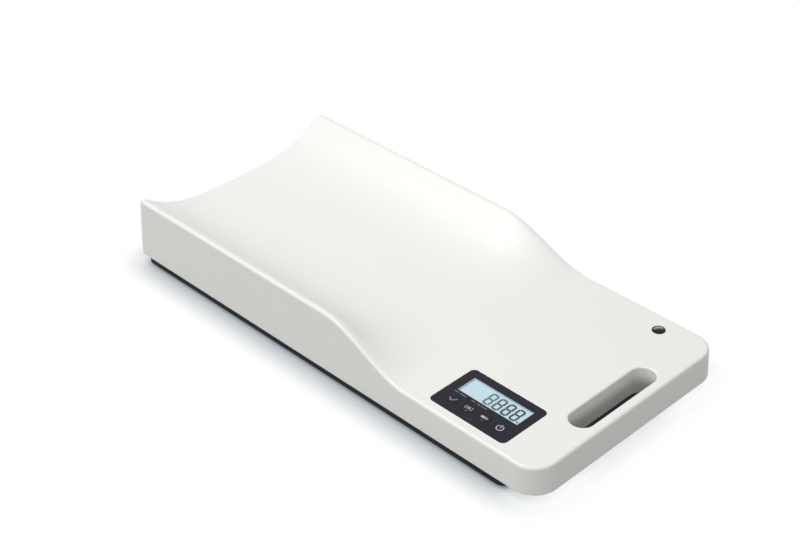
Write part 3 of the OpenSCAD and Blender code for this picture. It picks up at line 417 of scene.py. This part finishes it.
# %% Helpers for upright blocks
def upright(length, width, radius, low, high, at=(0, 0), flare=0.0, turns=6, corner=10):
    """A closed block in millimetres, from height low to high, with plan corners of a radius.
    turns and corner are the steps round its flare and round each corner."""
    bm = bmesh.new()
    signs = ((-1, -1), (1, -1), (1, 1), (-1, 1))
    corners = [bm.verts.new((sx*length/2, sy*width/2, low)) for sx, sy in signs]
    bm.faces.new(corners)
    if radius:      # a hair less than the radius, so that two corners never meet
        bmesh.ops.bevel(bm, geom=corners, offset=radius*0.9999, offset_type="OFFSET",
                        segments=corner, profile=0.5, affect="VERTICES", material=-1)
    core_x, core_y = length/2 - radius, width/2 - radius
    steps = [(high, 0)]
    if flare:
        quarter = [math.pi/2*i/turns for i in range(turns + 1)]
        steps = [(high - 0.02 - flare*(1 - math.sin(a)), flare*(1 - math.cos(a))) for a in quarter]
        steps.append((high + 1, flare))
    rim = list(bm.edges)
    for z, grown in steps:
        rim, ring = extrude_rim(bm, rim)
        for v in ring:
            near = Vector((max(-core_x, min(core_x, v.co.x)), max(-core_y, min(core_y, v.co.y))))
            if radius:
                near += (v.co.xy - near).normalized()*(radius + grown)
            v.co = (near.x, near.y, z)
    bmesh.ops.holes_fill(bm, edges=rim)
    bmesh.ops.remove_doubles(bm, verts=bm.verts, dist=1e-4)
    bmesh.ops.translate(bm, verts=bm.verts, vec=(*at, 0))
    bmesh.ops.recalc_face_normals(bm, faces=bm.faces)
    return bm


def post(diameter, low, high, at, corner=10):
    """A round upright block."""
    return upright(diameter, diameter, diameter/2, low, high, at, corner=corner)


# %% [markdown]
# The tray is the whole character of this object: a trough whose sides sweep up into two crests,
# which run level and then fall in a long curve to a flat console. The CAD has that surface as a
# formula, so the same formula is repeated here at a much finer step. A grid is laid over the
# plan and each of its points is lifted to the height the formula gives.

# %% The tray's formula
CONSOLE_L, SLOPE_L, CREST_INSET = 184, 124, 7.5
SLOPE_X1 = TRAY_L/2 - CONSOLE_L
SLOPE_X0 = SLOPE_X1 - SLOPE_L
CREST_Y = TRAY_W/2 - CREST_INSET
SIDE_POWER, SIDE_RISE, SIDE_SOFTNESS = 3.4, 1.08, 0.1
EDGE_R, LEAN, WALL = 3.5, math.tan(math.radians(3.2)), 3
OPEN_R = 1.5 + EDGE_R + (CREST_H - EDGE_R)*LEAN
HANDLE_R = 30
STRAIGHT_STEPS = 148                  # along the tray's side, between its corners


def ease(t):
    """0 below t = 0, 1 above t = 1, and an S-curve between."""
    t = max(0, min(1, t))
    return t*t*(3 - 2*t)


def top_height(x, y):
    """Height of the tray's upper face above the lower edge of its skirt."""
    crest = CREST_H + (CONSOLE_H - CREST_H)*ease((x - SLOPE_X0)/(SLOPE_X1 - SLOPE_X0))
    bed = BED_H + (CONSOLE_H - BED_H)*ease((x + TRAY_L/2)/(SLOPE_X1 + TRAY_L/2))
    left = 1 - SIDE_RISE*(abs(y)/CREST_Y)**SIDE_POWER
    return bed + (crest - bed)*(1 - (left + math.hypot(left, SIDE_SOFTNESS))/2)


def outline_stations():
    """Points along the user's side of the outline, with the way outward: (x, y, out_x, out_y)."""
    found = []
    for steps, radius, sign, start in ((5, OPEN_R, -1, 180), (14, HANDLE_R, 1, 270)):
        cx, cy = sign*(TRAY_L/2 - radius), -(TRAY_W/2 - radius)
        for i in range(steps + 1):
            turn = math.radians(start + 90*i/steps)
            found.append((cx + radius*math.cos(turn), cy + radius*math.sin(turn),
                          math.cos(turn), math.sin(turn)))
        if sign < 0:
            x0, x1 = -TRAY_L/2 + OPEN_R, TRAY_L/2 - HANDLE_R
            found += [(x0 + (x1 - x0)*i/STRAIGHT_STEPS, -TRAY_W/2, 0, -1)
                      for i in range(1, STRAIGHT_STEPS)]
    return found


stations = outline_stations()
print("peak of the crest, mm above the skirt:",
      round(max(top_height(-200, y/10) for y in range(1480)), 2))

# %% [markdown]
# Each point of the grid's border remembers, in two bmesh layers, which point of the skirt's
# outline it belongs to and which way is out. Extruding copies those layers along, so each new
# ring knows where it goes: first round the edge in a quarter circle, then down the leaning wall
# and round its lower lip. Solidify gives the finished skin its 3 mm wall.

# %% The tray's skin
SKIN_COLUMNS = 108                    # steps from side to side
EDGE_TURNS = (75, 60, 45, 30, 15, 0)  # rings round the upper edge, in degrees
# Rings down the wall: a height, and how far the ring is tucked in. The first height counts down
# from the edge, and the others up from the skirt's end.
WALL_RINGS = ((-1.6, 0), (1.8, 0), (0.7, 0), (0.21, 0.21), (0, 0.7))


def tray_skin():
    """The upper face, its rounded edge and the skirt, as a shell of the wall's thickness."""
    bm = bmesh.new()
    bmesh.ops.create_grid(bm, x_segments=len(stations) - 1, y_segments=SKIN_COLUMNS, size=0.5)
    outline = bm.verts.layers.float_vector.new("outline")
    outward = bm.verts.layers.float_vector.new("outward")

    def inset_of(place, out):
        """How far the skin's border lies inside the outline, for the wall's lean and the edge."""
        h = top_height(place.x - 2*EDGE_R*out.x, place.y - 2*EDGE_R*out.y)
        return EDGE_R + (h - EDGE_R)*LEAN

    def border(v):
        """A ring point's place on the outline, its way out, its inset and the skin's height."""
        place, out = v[outline], v[outward]
        inset = inset_of(place, out)
        inner = place - out*inset
        return place, out, inset, top_height(inner.x, inner.y)

    for v in bm.verts:
        row = round((v.co.x + 0.5)*(len(stations) - 1))
        t = 2*v.co.y
        across = 0.35*t + 0.65*math.sin(math.pi/2*t)        # closer together near the crests
        x, y, out_x, out_y = stations[row]
        side = -1 if t < 0 else 1
        if row in (0, len(stations) - 1):
            place, out = Vector((x, -across*y, 0)), Vector((-1 if row == 0 else 1, 0, 0))
        else:
            place, out = Vector((x, -side*y, 0)), Vector((out_x, -side*out_y, 0))
        inner = place - out*inset_of(place, out)
        if row not in (0, len(stations) - 1):
            inner.y = abs(inner.y)*across
        v[outline], v[outward] = place, out
        v.co = (inner.x, inner.y, top_height(inner.x, inner.y))

    rim = [e for e in bm.edges if e.is_boundary]
    for turn in map(math.radians, EDGE_TURNS):
        rim, ring = extrude_rim(bm, rim)
        for v in ring:
            place, out, inset, h = border(v)
            v.co = place - out*(inset - EDGE_R*math.cos(turn))
            v.co.z = h - EDGE_R + EDGE_R*math.sin(turn)
    for level, tuck in WALL_RINGS:
        rim, ring = extrude_rim(bm, rim)
        for v in ring:
            place, out, _, h = border(v)
            z = h - EDGE_R + level if level < 0 else level
            v.co = place - out*(z*LEAN + tuck)
            v.co.z = z
    bmesh.ops.translate(bm, verts=bm.verts, vec=(0, 0, SKIRT_Z))
    bmesh.ops.recalc_face_normals(bm, faces=bm.faces)
    if sum(f.normal.z*f.calc_area() for f in bm.faces) < 0:     # an open skin may turn inside out
        bmesh.ops.reverse_faces(bm, faces=bm.faces)
    return modified(bm, "SOLIDIFY", thickness=WALL, offset=-1, use_even_offset=True,
                    use_quality_normals=True)


tray = tray_skin()
print("tray skin:", len(tray.faces), "faces")

# %% [markdown]
# Under the console the moulding carries posts, ribs and a collar, and its top is cut by the
# carrying slot, the panel's recess, the window, four key holes and the level's bore. The console
# is dead flat, so solids can be added and cut away with Booleans without a ripple in its shading.

# %% What the tray carries and what is cut from it
TOP_Z = CONSOLE_Z - WALL/2            # added solids end inside the moulding's wall
GRIP_RIB_X, GRIP_RIBS_Y = 307.4, (-45, -15, 15, 45)
BOARD_POST_DX, BOARD_POST_DY = 46.7, 26.15
CARRIER_POSTS_X, CARRIER_POST_Y = (-205, 125), 76

added = [upright(SLOT_W + 2*SLOT_WALL, SLOT_L + 2*SLOT_WALL, SLOT_W/2 + SLOT_WALL, SKIRT_Z + 0.2,
                 TOP_Z, SLOT),
         upright(PANEL_L + 5, PANEL_W + 5, 8.5, 43, 45.2, PANEL),
         post(18, 38, TOP_Z, LEVEL)]
for y in GRIP_RIBS_Y:
    added.append(upright(9.5, 2, 0, 29, TOP_Z, (GRIP_RIB_X, y)))
for sx, carrier_x in zip((-1, 1), CARRIER_POSTS_X):
    carrier_top = SKIRT_Z + top_height(carrier_x, CARRIER_POST_Y) - WALL/2
    for sy in (-1, 1):
        board_post = (PANEL[0] + sx*BOARD_POST_DX, PANEL[1] + sy*BOARD_POST_DY)
        added.append(post(7, 36.6, 43.5, board_post))
        added.append(post(11, 40, carrier_top, (carrier_x, sy*CARRIER_POST_Y)))
cuts = [upright(SLOT_W, SLOT_L, SLOT_W/2, SKIRT_Z - 1, CONSOLE_Z, SLOT, flare=2.2, corner=24),
        upright(PANEL_L + 0.3, PANEL_W + 0.3, 6.15, PANEL_Z, CONSOLE_Z, PANEL, flare=0.35,
                turns=3),
        upright(85.3, 30.3, 0, 41, 46, WINDOW),
        post(14.3, 36, 48, LEVEL)]
for x in KEYS.values():
    cuts.append(post(16, 41, 46, (x, KEY_Y)))
for solid in added:
    tray = combine(tray, solid, "UNION")
for solid in cuts:
    tray = combine(tray, solid, "DIFFERENCE")
tray_piece = add_piece("tray", tray, tray_white, "scale_body", ["tray_shell"],
                       outward=False)
print("tray:", len(tray_piece.data.polygons), "faces")

# %% [markdown]
# The display panel is a dark plate let into the console, flush with it, with the corners of its
# upper edge just broken so that they catch a thread of light. The same Booleans open it for the
# window and for the four keys. The window is a clear pane over the glass of the display, and a
# pale seal around it lights up on the sides that face the camera.

# %% The panel and its window
OPENING, OPENING_L, OPENING_W = (WINDOW[0] + 0.5, WINDOW[1]), 82, 26
PANE_Z, PANE_TOP = 45.3, 46.97
PAST_LOW, PAST_HIGH = 40, 50          # heights of a cut that goes right through the panel


def soften_top(bm, height, width):
    """Bevels the edges that lie on top of a block."""
    rim = [e for e in bm.edges if all(abs(v.co.z - height) < 1e-3 for v in e.verts)]
    round_edges(bm, rim, width, 3)
    return bm


panel = soften_top(upright(PANEL_L, PANEL_W, 6, PANEL_Z, CONSOLE_Z, PANEL), CONSOLE_Z, 0.25)
panel = combine(panel, upright(OPENING_L, OPENING_W, 0, PAST_LOW, PAST_HIGH, OPENING),
                "DIFFERENCE")
for x in KEYS.values():
    panel = combine(panel, post(14.4, PAST_LOW, PAST_HIGH, (x, KEY_Y), corner=16), "DIFFERENCE")
add_piece("panel", panel, panel_dark, "scale_body", ["display_panel"])
seal = combine(upright(OPENING_L - 0.1, OPENING_W - 0.1, 0, 45.1, 46.9, OPENING),
               upright(WINDOW_L + 0.2, WINDOW_W + 0.2, 0, 44, 48, WINDOW), "DIFFERENCE")
add_piece("window_rim", seal, window_rim, "scale_body")
window = soften_top(upright(WINDOW_L, WINDOW_W, 0, PANE_Z, PANE_TOP, WINDOW), PANE_TOP, 0.15)
add_piece("window", window, window_clear, "scale_body", ["display_window"])

# %% [markdown]
# Digits and symbols are flat strokes. A stroke starts as a small circle whose two halves are
# pulled apart: with six corners it has the pointed ends of a display's segments, with more it is
# round-ended like printing. Where strokes meet they are joined into one solid.

# %% Helpers for strokes
def stroke(start, end, width, low, high, pointed=False):
    """A flat stroke in millimetres from one plan point to another."""
    bm = bmesh.new()
    way = Vector(end) - Vector(start)
    radius = width/2/(math.cos(math.pi/6) if pointed else 1)
    bmesh.ops.create_circle(bm, cap_ends=True, segments=6 if pointed else 16, radius=radius)
    bmesh.ops.rotate(bm, verts=bm.verts, cent=(0, 0, 0),
                     matrix=Matrix.Rotation(math.pi/2 if pointed else 0, 3, "Z"))
    pull = max(0, way.length/2 - (radius if pointed else 0))
    for v in bm.verts:
        if abs(v.co.x) > 1e-5:
            v.co.x += pull if v.co.x > 0 else -pull
    extrude_up(bm, high - low)
    bmesh.ops.rotate(bm, verts=bm.verts, cent=(0, 0, 0),
                     matrix=Matrix.Rotation(math.atan2(way.y, way.x), 3, "Z"))
    middle = (Vector(start) + Vector(end))/2
    bmesh.ops.translate(bm, verts=bm.verts, vec=(middle.x, middle.y, low))
    bmesh.ops.recalc_face_normals(bm, faces=bm.faces)
    return bm


def gather(parts, join=False):
    """Puts several bmeshes into one, joined as solids if they overlap."""
    whole = parts[0]
    for part in parts[1:]:
        if join:
            whole = combine(whole, part, "UNION")
            continue
        mesh = bpy.data.meshes.new("part")
        part.to_mesh(mesh)
        part.free()
        whole.from_mesh(mesh)
        bpy.data.meshes.remove(mesh)
    return whole


# %% [markdown]
# The display shows four eights, a point and a small mark for the unit. The digits are thin ink on
# the glass, under the window. On the photo they grow darker from left to right, so there are three
# shades of ink.

# %% The digits
DIGIT_LEFT = (195.6, 207.7, 219.75, 231.8)
DIGIT_LOW, DIGIT_HIGH, DIGIT_W = -99.4, -79.2, 9.5
SEGMENT_W, SEGMENT_GAP = 2.35, 0.2
INK_LOW, INK_HIGH = 45.02, 45.12      # on the glass of the display


def lcd_stroke(start, end, width, pointed=False):
    """A stroke of ink on the display."""
    return stroke(start, end, width, INK_LOW, INK_HIGH, pointed)


def digit(left):
    """The seven segments of an eight, in millimetres on the console."""
    x0, x1 = left + SEGMENT_W/2, left + DIGIT_W - SEGMENT_W/2
    y0, y1, y2 = DIGIT_LOW + SEGMENT_W/2, (DIGIT_LOW + DIGIT_HIGH)/2, DIGIT_HIGH - SEGMENT_W/2
    ends = [((x0, y), (x1, y)) for y in (y0, y1, y2)]
    ends += [((x, a), (x, b)) for x in (x0, x1) for a, b in ((y0, y1), (y1, y2))]
    parts = []
    for a, b in ends:
        a, b = Vector(a), Vector(b)
        short = (b - a).normalized()*SEGMENT_GAP
        parts.append(lcd_stroke(a + short, b - short, SEGMENT_W, pointed=True))
    return parts


point = [lcd_stroke((206.4, -98.5), (206.5, -98.5), 1.5)]
unit_mark = [lcd_stroke((243.1, -98.0), (245.5, -98.0), 1.5),
             lcd_stroke((244.3, -96.2), (244.4, -96.2), 1.0)]
inks = {"faint": (lcd_faint, DIGIT_LEFT[:1], point), "middle": (lcd_middle, DIGIT_LEFT[1:2], []),
        "dark": (lcd_dark, DIGIT_LEFT[2:], unit_mark)}
for tone, (ink, lefts, marks) in inks.items():
    segments = [part for left in lefts for part in digit(left)] + marks
    add_piece("digits_" + tone, gather(segments), ink, "scale_body")
print("pieces of the display:", ["digits_" + tone for tone in inks])

# %% [markdown]
# Turned pieces start as half of their outline, which is spun round an upright axis. The keys, the
# level, the feet and their threads are made this way. Points on the axis are merged after the
# spin, so that the pole is closed.

# %% A helper for turned pieces
def turned(profile, at=(0, 0), steps=48):
    """A closed solid from (radius, height) pairs in millimetres, from pole to pole."""
    bm = bmesh.new()
    points = [bm.verts.new((r, 0, z)) for r, z in profile]
    edges = [bm.edges.new(pair) for pair in zip(points, points[1:])]
    bmesh.ops.spin(bm, geom=points + edges, cent=(0, 0, 0), axis=(0, 0, 1), angle=2*math.pi,
                   steps=steps, use_merge=True)
    bmesh.ops.remove_doubles(bm, verts=bm.verts, dist=1e-4)
    bmesh.ops.translate(bm, verts=bm.verts, vec=(*at, 0))
    bmesh.ops.recalc_face_normals(bm, faces=bm.faces)
    return bm


# %% [markdown]
# Each key is a round cap a quarter of a millimetre proud of the panel, with a flange that holds it
# under the plate and a stem over its switch. It rides on its own body, and its printed symbol
# rides with it: a tick, two hold bars in brackets, a feeding bottle and the usual power sign. The
# two keys in the middle have a small mark under their symbol.

# %% Keys and their symbols
KEY_TOP = 47.24
PRINT_LOW, PRINT_HIGH = KEY_TOP - 0.05, KEY_TOP + 0.05
RING_STEPS = 40
key_profile = [(0, 37.4), (1.6, 37.4), (1.7, 37.5), (1.7, 44.05), (7.75, 44.05), (7.8, 44.1),
               (7.8, 44.9), (7.75, 44.95), (7.0, 44.95), (7.0, 46.9), (6.97, 47.05), (6.87, 47.17),
               (6.7, KEY_TOP), (0, KEY_TOP)]
for name, x in KEYS.items():
    add_piece("key_cap_" + name, turned(key_profile, (x, KEY_Y), 64), key_dark, "cap_" + name,
              ["key_" + name])


def symbol(name, parts, join=True, ink=key_print, kind="symbol_"):
    """Prints strokes, drawn round (0, 0), on the cap of a key."""
    bm = gather(parts, join)
    bmesh.ops.translate(bm, verts=bm.verts, vec=(KEYS[name], KEY_Y, 0))
    add_piece(kind + name, bm, ink, "cap_" + name)


def line(x0, y0, x1, y1, width=1.3):
    """One stroke of a symbol."""
    return stroke((x0, y0), (x1, y1), width, PRINT_LOW, PRINT_HIGH)


def ring_piece(radius, width, start, sweep):
    """Part of a flat ring, spun from its cross section."""
    bm = bmesh.new()
    inner, outer = radius - width/2, radius + width/2
    corners = ((inner, PRINT_LOW), (outer, PRINT_LOW), (outer, PRINT_HIGH), (inner, PRINT_HIGH))
    section = bm.faces.new([bm.verts.new((r*math.cos(start), r*math.sin(start), z))
                            for r, z in corners])
    bmesh.ops.spin(bm, geom=[section, *section.edges, *section.verts], cent=(0, 0, 0),
                   axis=(0, 0, 1), angle=sweep, steps=RING_STEPS)
    bmesh.ops.recalc_face_normals(bm, faces=bm.faces)
    return bm


symbol("confirm", [line(-4.0, -0.3, -0.5, -3.6), line(-0.5, -3.6, 4.2, 1.5)], ink=dim_print)
symbol("hold", [line(-1.1, -1.4, -1.1, 1.6, 1.2), line(1.1, -1.4, 1.1, 1.6, 1.2),
                line(-4.3, -1.9, -3.4, -1.9, 0.7), line(-4.3, -1.9, -4.3, 2.1, 0.7),
                line(-4.3, 2.1, -3.4, 2.1, 0.7), line(4.3, -1.9, 3.4, -1.9, 0.7),
                line(4.3, -1.9, 4.3, 2.1, 0.7), line(4.3, 2.1, 3.4, 2.1, 0.7)])
symbol("feed", [line(-3.2, 0, -0.6, 0, 3.2), line(1.9, -1.4, 1.9, 1.4, 0.9),
                line(3.2, 0, 4.2, 0, 1.3)], join=False)
POWER_LINE = 1.05
power_ring = ring_piece(3.85, POWER_LINE, math.radians(115), math.radians(310))
bmesh.ops.translate(power_ring, verts=power_ring.verts, vec=(0, -1, 0))
symbol("power", [power_ring, line(0, -0.8, 0, 3.8, POWER_LINE)], join=False)
for name in ("hold", "feed"):
    symbol(name, [line(-0.4, -4.8, 0.9, -4.8, 0.9)], ink=dim_print, kind="mark_")

# %% [markdown]
# Under the display a row of tiny captions names its functions, and one more stands near the lower
# edge. Here they are plain dashes, grouped as the captions are.

# %% Captions as plain dashes
DASH_W = 1.1


def caption(name, y, groups, ink):
    """A row of dashes on the panel, each from x0 to x1."""
    dashes = [stroke((x0, y), (x1, y), DASH_W, CONSOLE_Z - 0.02, CONSOLE_Z + 0.05)
              for x0, x1 in groups]
    add_piece(name, gather(dashes), ink, "scale_body")


caption("captions", -105.9, ((166.0, 167.4), (168.6, 170.0), (173.2, 175.0), (176.2, 177.6),
                             (178.8, 181.0), (189.4, 190.8), (192.0, 193.2), (197.1, 198.5),
                             (199.6, 200.5), (202.8, 204.4), (205.6, 206.8), (208.0, 209.4)),
        label_print)
caption("low_caption", -129.6, ((203.6, 205.0), (206.2, 208.2), (209.4, 211.2)), lcd_middle)

# %% [markdown]
# The spirit level is a black cup with a domed lens, smoked nearly black, whose far half has a
# painted light in its colour, for what would shine through the lens.

# %% The spirit level
LENS_R, LENS_RISE, LENS_TOP, LENS_STEPS = 5.75, 1, 48.48, 12
cup = [(0, 38), (6.8, 38), (7.0, 38.2), (7.0, 47.0), (7.5, 47.0), (7.5, 47.2), (7.42, 47.38),
       (7.25, 47.5), (6.2, 47.5), (5.95, 47.4), (5.82, 47.2), (5.8, 43.5), (0, 43.5)]
add_piece("level_ring", turned(cup, LEVEL, 64), level_black, "scale_body",
          ["level_cup"])
lens_curve = (LENS_R**2 + LENS_RISE**2)/(2*LENS_RISE)
lens = [(0, 46.05), (LENS_R - 0.05, 46.05), (LENS_R, 46.1)]
for i in range(LENS_STEPS):
    r = LENS_R*math.cos(math.pi/2*i/LENS_STEPS)
    lens.append((r, LENS_TOP - lens_curve + math.sqrt(lens_curve**2 - r*r)))
lens.append((0, LENS_TOP))
add_piece("level_dome", turned(lens, LEVEL, 64), level_glass, "scale_body",
          ["level_lens"])

# %% [markdown]
# Many other pieces already have their right shape in the CAD and only lack soft edges. A copy of
# such a node is merged, its flat faces are dissolved into single ones, and its sharp edges are
# rounded by a fraction of a millimetre, as moulding and tumbling leave them.

# %% A helper for softened copies
ROUNDED_FROM = math.radians(40)       # edges at least this sharp are rounded
FLAT_WITHIN = math.radians(0.5)       # faces this close to one plane become one face


def softened(node, width, material, body="scale_body", segments=2):
    """Replaces a CAD node by a copy of it with rounded edges."""
    bm = bmesh.new()
    bm.from_mesh(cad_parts[node].data)
    bmesh.ops.scale(bm, vec=(1000, 1000, 1000), verts=bm.verts)
    bmesh.ops.remove_doubles(bm, verts=bm.verts, dist=1e-3)
    bmesh.ops.dissolve_limit(bm, angle_limit=FLAT_WITHIN, verts=bm.verts, edges=bm.edges)
    sharp = [e for e in bm.edges if e.is_manifold and e.calc_face_angle() > ROUNDED_FROM]
    round_edges(bm, sharp, width, segments, clamp_overlap=True)
    add_piece(node + "_soft", bm, material, body, [node], outward=False)


# %% Finishes of the base, the feet and the parts inside
rubber = finish("rubber", (0.028, 0.028, 0.028), 0.8, grain=0.0005, depth=0.3, wander=0.2)
foot_plastic = finish("foot_plastic", (0.05, 0.052, 0.055), 0.5, depth=0.15, wander=0.12)
zinc = finish("zinc", (0.6, 0.61, 0.63), 0.34, grain=0.0008, depth=0.12, wander=0.1, metal=1,
              patch=0.012, rough_range=0.1)
milled = finish("milled", (0.75, 0.76, 0.77), 0.3, grain=0.0006, depth=0.2, wander=0.06, metal=1,
                stretch=(0.04, 1, 1))
silicone = finish("silicone", (0.82, 0.82, 0.79), 0.6, grain=0.002, depth=0.3, wander=0.05)
brass = finish("brass", (0.72, 0.55, 0.26), 0.28, depth=0.1, wander=0.08, metal=1,
               stretch=(1, 1, 0.1))
sleeve = finish("sleeve", (0.1, 0.22, 0.2), 0.35, depth=0.05, wander=0.15, patch=0.01)
lightbox = finish("lightbox", (0.85, 0.86, 0.83), 0.5, depth=0.1, wander=0.03)
moulded_black = finish("moulded_black", (0.03, 0.03, 0.03), 0.5, depth=0.2, wander=0.15)
solder_mask = finish("solder_mask", (0.03, 0.16, 0.07), 0.35, depth=0.1, wander=0.25, patch=0.006)
bubble_air = finish("bubble_air", (0.75, 0.85, 0.7), 0.1, depth=0.0, wander=0.05, alpha=0.6)

# %% [markdown]
# The base is a shallow charcoal pan, of which only a dark strip shows under the tray's white
# skirt. Its fine matte grain keeps that strip from shining. Under it is the battery door, whose
# raised arrow shows which way it opens.

# %% The base and the battery door
softened("base_pan", 0.5, base_charcoal)
softened("battery_door", 0.25, base_charcoal, body="battery_cover")
ARROW_TIP, ARROW_W, ARROW_LOW, ARROW_HIGH = (199, 0), 1.4, 4.38, 4.52
arrow = gather([stroke(ARROW_TIP, end, ARROW_W, ARROW_LOW, ARROW_HIGH)
                for end in ((211, 0), (203.5, 4.5), (203.5, -4.5))], join=True)
add_piece("door_arrow", arrow, base_charcoal, "battery_cover")

# %% [markdown]
# Each foot is a rubber pad, a wheel to turn by hand and a threaded stem. The wheel starts as a
# circle whose rim is drawn in and out eighteen times for the fingers. The thread is turned from
# a zigzag, which at this size looks the same as a true screw.

# %% The four feet
WHEEL_R, WHEEL_T, GRIPS, GRIP_DEPTH = 15, 2.1, 18, 0.05
PAD_T = 2.2
THREAD_PITCH, THREAD_TURNS = 1.25, 16


def foot_wheel(at):
    """The wheel of a foot, with its finger grips."""
    bm = bmesh.new()
    bmesh.ops.create_circle(bm, cap_ends=True, segments=8*GRIPS, radius=WHEEL_R)
    for v in bm.verts:
        turn = math.atan2(v.co.y, v.co.x)
        v.co.xy *= 1 - GRIP_DEPTH*(0.5 - 0.5*math.cos(GRIPS*turn))**2
    extrude_up(bm, WHEEL_T)
    rims = [e for e in bm.edges if abs(e.verts[0].co.z - e.verts[1].co.z) < 1e-6]
    round_edges(bm, rims, 0.4, 3)
    bmesh.ops.translate(bm, verts=bm.verts, vec=(*at, PAD_T))
    bmesh.ops.recalc_face_normals(bm, faces=bm.faces)
    return bm


thread = [(0, 4.2), (3.6, 4.2)]
for i in range(THREAD_TURNS):
    thread += [(4.0, 4.6 + THREAD_PITCH*i), (3.55, 5.2 + THREAD_PITCH*i)]
thread += [(3.5, 24.9), (3.1, 25.3), (0, 25.3)]
pad = [(0, 0), (12.9, 0), (13.4, 0.3), (13.5, 0.7), (13.5, 2.0), (13.3, PAD_T), (0, PAD_T)]
for number, at in enumerate(FEET, start=1):
    body = f"foot_{number}_"
    add_piece(body + "rubber", turned(pad, at), rubber, body + "pad",
              [f"foot_pad_{number}"])
    screw = combine(foot_wheel(at), turned(thread, at, 32), "UNION")
    add_piece(body + "wheel", screw, foot_plastic, body + "stem",
              [f"foot_screw_{number}"])
print("feet made")

# %% [markdown]
# Three leads run inside: the load cell's, and a red one from each end of the row of batteries. A
# lead is a ring of points that is extruded along the smooth curve through its route, and turned
# at each step by as much as the curve turns. The routes are those of the CAD, in millimetres.

# %% The leads
LEAD_SIDES, LEAD_STEPS = 16, 8        # round a lead, and between two points of its route
CELL_LEAD_D, WIRE_D = 3.2, 1.8


def lead(route, diameter):
    """A round tube through the points of a route, with closed ends."""
    points = [Vector(p) for p in route]
    padded = [points[0], *points, points[-1]]
    curve = []
    for a, b, c, d in zip(padded, padded[1:], padded[2:], padded[3:]):
        curve += [(2*b + (c - a)*t + (2*a - 5*b + 4*c - d)*t**2 + (3*b - a - 3*c + d)*t**3)/2
                  for t in [i/LEAD_STEPS for i in range(LEAD_STEPS)]]
    curve.append(points[-1])
    ways = [points[1] - points[0], *[b - a for a, b in zip(curve, curve[2:])],
            points[-1] - points[-2]]
    bm = bmesh.new()
    bmesh.ops.create_circle(bm, segments=LEAD_SIDES, radius=diameter/2)
    turn = Vector((0, 0, 1)).rotation_difference(ways[0])
    bmesh.ops.transform(bm, matrix=Matrix.Translation(curve[0]) @ turn.to_matrix().to_4x4(),
                        verts=bm.verts)
    rim = list(bm.edges)
    for i in range(1, len(curve)):
        rim, ring = extrude_rim(bm, rim)
        turn = ways[i - 1].rotation_difference(ways[i]).to_matrix().to_4x4()
        step = Matrix.Translation(curve[i]) @ turn @ Matrix.Translation(-curve[i - 1])
        bmesh.ops.transform(bm, matrix=step, verts=ring)
    bmesh.ops.holes_fill(bm, edges=[e for e in bm.edges if e.is_boundary])
    return bm


cell_route = [(11, -15, 23.5), (11, -20, 23.5), (16, -23.5, 17.5), (23, -23.5, 12.5),
              (31, -23.5, 11.3), (78, -23.5, 11.3), (93, -39.5, 11.3), (95, -76, 11.3),
              (111, -99, 11.3), (145.84, -101, 11.3), (158.84, -100, 12.5),
              (169.84, -99.03, 17.3), (174.84, -98.03, 24), (174.84, -98.03, 30)]
near_route = [(174.25, -22.2, 14.3), (171.25, -22.2, 14.3), (167.25, -22.2, 14.3),
              (162.25, -24.2, 11.3), (159.25, -30.2, 9.4), (159.25, -37.2, 8.6),
              (159.25, -57.13, 8.6), (160.25, -64.07, 8.6), (163.25, -72.07, 9.6),
              (169.25, -81.07, 16.6), (176.34, -84.07, 24), (176.34, -84.07, 30)]
far_route = [(174.25, 22.2, 14.3), (171.25, 22.2, 14.3), (167.25, 22.2, 14.3),
             (159.25, 20.2, 11.3), (156.25, 14.2, 9.4), (156.25, 7.2, 8.6),
             (156.25, -34.93, 8.6), (157.25, -64.07, 8.6), (160.25, -72.07, 9.6),
             (166.25, -81.07, 16.6), (173.34, -84.07, 24), (173.34, -84.07, 30)]
lead_grey = finish("lead_grey", (0.12, 0.12, 0.125), 0.5, grain=0.0005, depth=0.15, wander=0.1)
wire_red = finish("wire_red", (0.45, 0.02, 0.015), 0.4, depth=0.05, wander=0.1)
add_piece("cell_lead_round", lead(cell_route, CELL_LEAD_D), lead_grey, "scale_body",
          ["cell_lead"])
wires = gather([lead(near_route, WIRE_D), lead(far_route, WIRE_D)])
add_piece("battery_wires_round", wires, wire_red, "scale_body", ["battery_wires"])

# %% [markdown]
# The parts inside are seen only when the tray is off. Sheet metal and blocks get softened edges,
# and the rest keep their CAD meshes with a finish that suits them. The glass of the display is
# dressed here too, and shows through the window.

# %% The parts inside
for node in ("tray_frame", "base_frame", "cell_spacer_upper", "cell_spacer_lower"):
    softened(node, 0.25, zinc)
softened("load_cell", 0.3, milled)
softened("gauge_seals", 0.4, silicone, segments=3)
softened("main_board", 0.1, solder_mask)
softened("board_parts", 0.2, moulded_black)
softened("key_switches", 0.2, moulded_black)
softened("buzzer", 0.3, moulded_black)
dressed = {"tray_screws": zinc, "cell_bolts_upper": zinc, "cell_bolts_lower": zinc,
           "base_screws": zinc, "overload_stops": zinc, "foot_inserts": brass,
           "battery_cells": sleeve, "battery_contacts": zinc, "lcd_glass": lcd_blue,
           "lcd_lightbox": lightbox, "board_screws": zinc, "level_bubble": bubble_air}
for node, material in dressed.items():
    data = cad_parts[node].data
    data.materials.clear()
    data.materials.append(material)
bare = [n for n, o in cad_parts.items() if not o.hide_render and n not in dressed]
print("nodes still undressed:", bare)
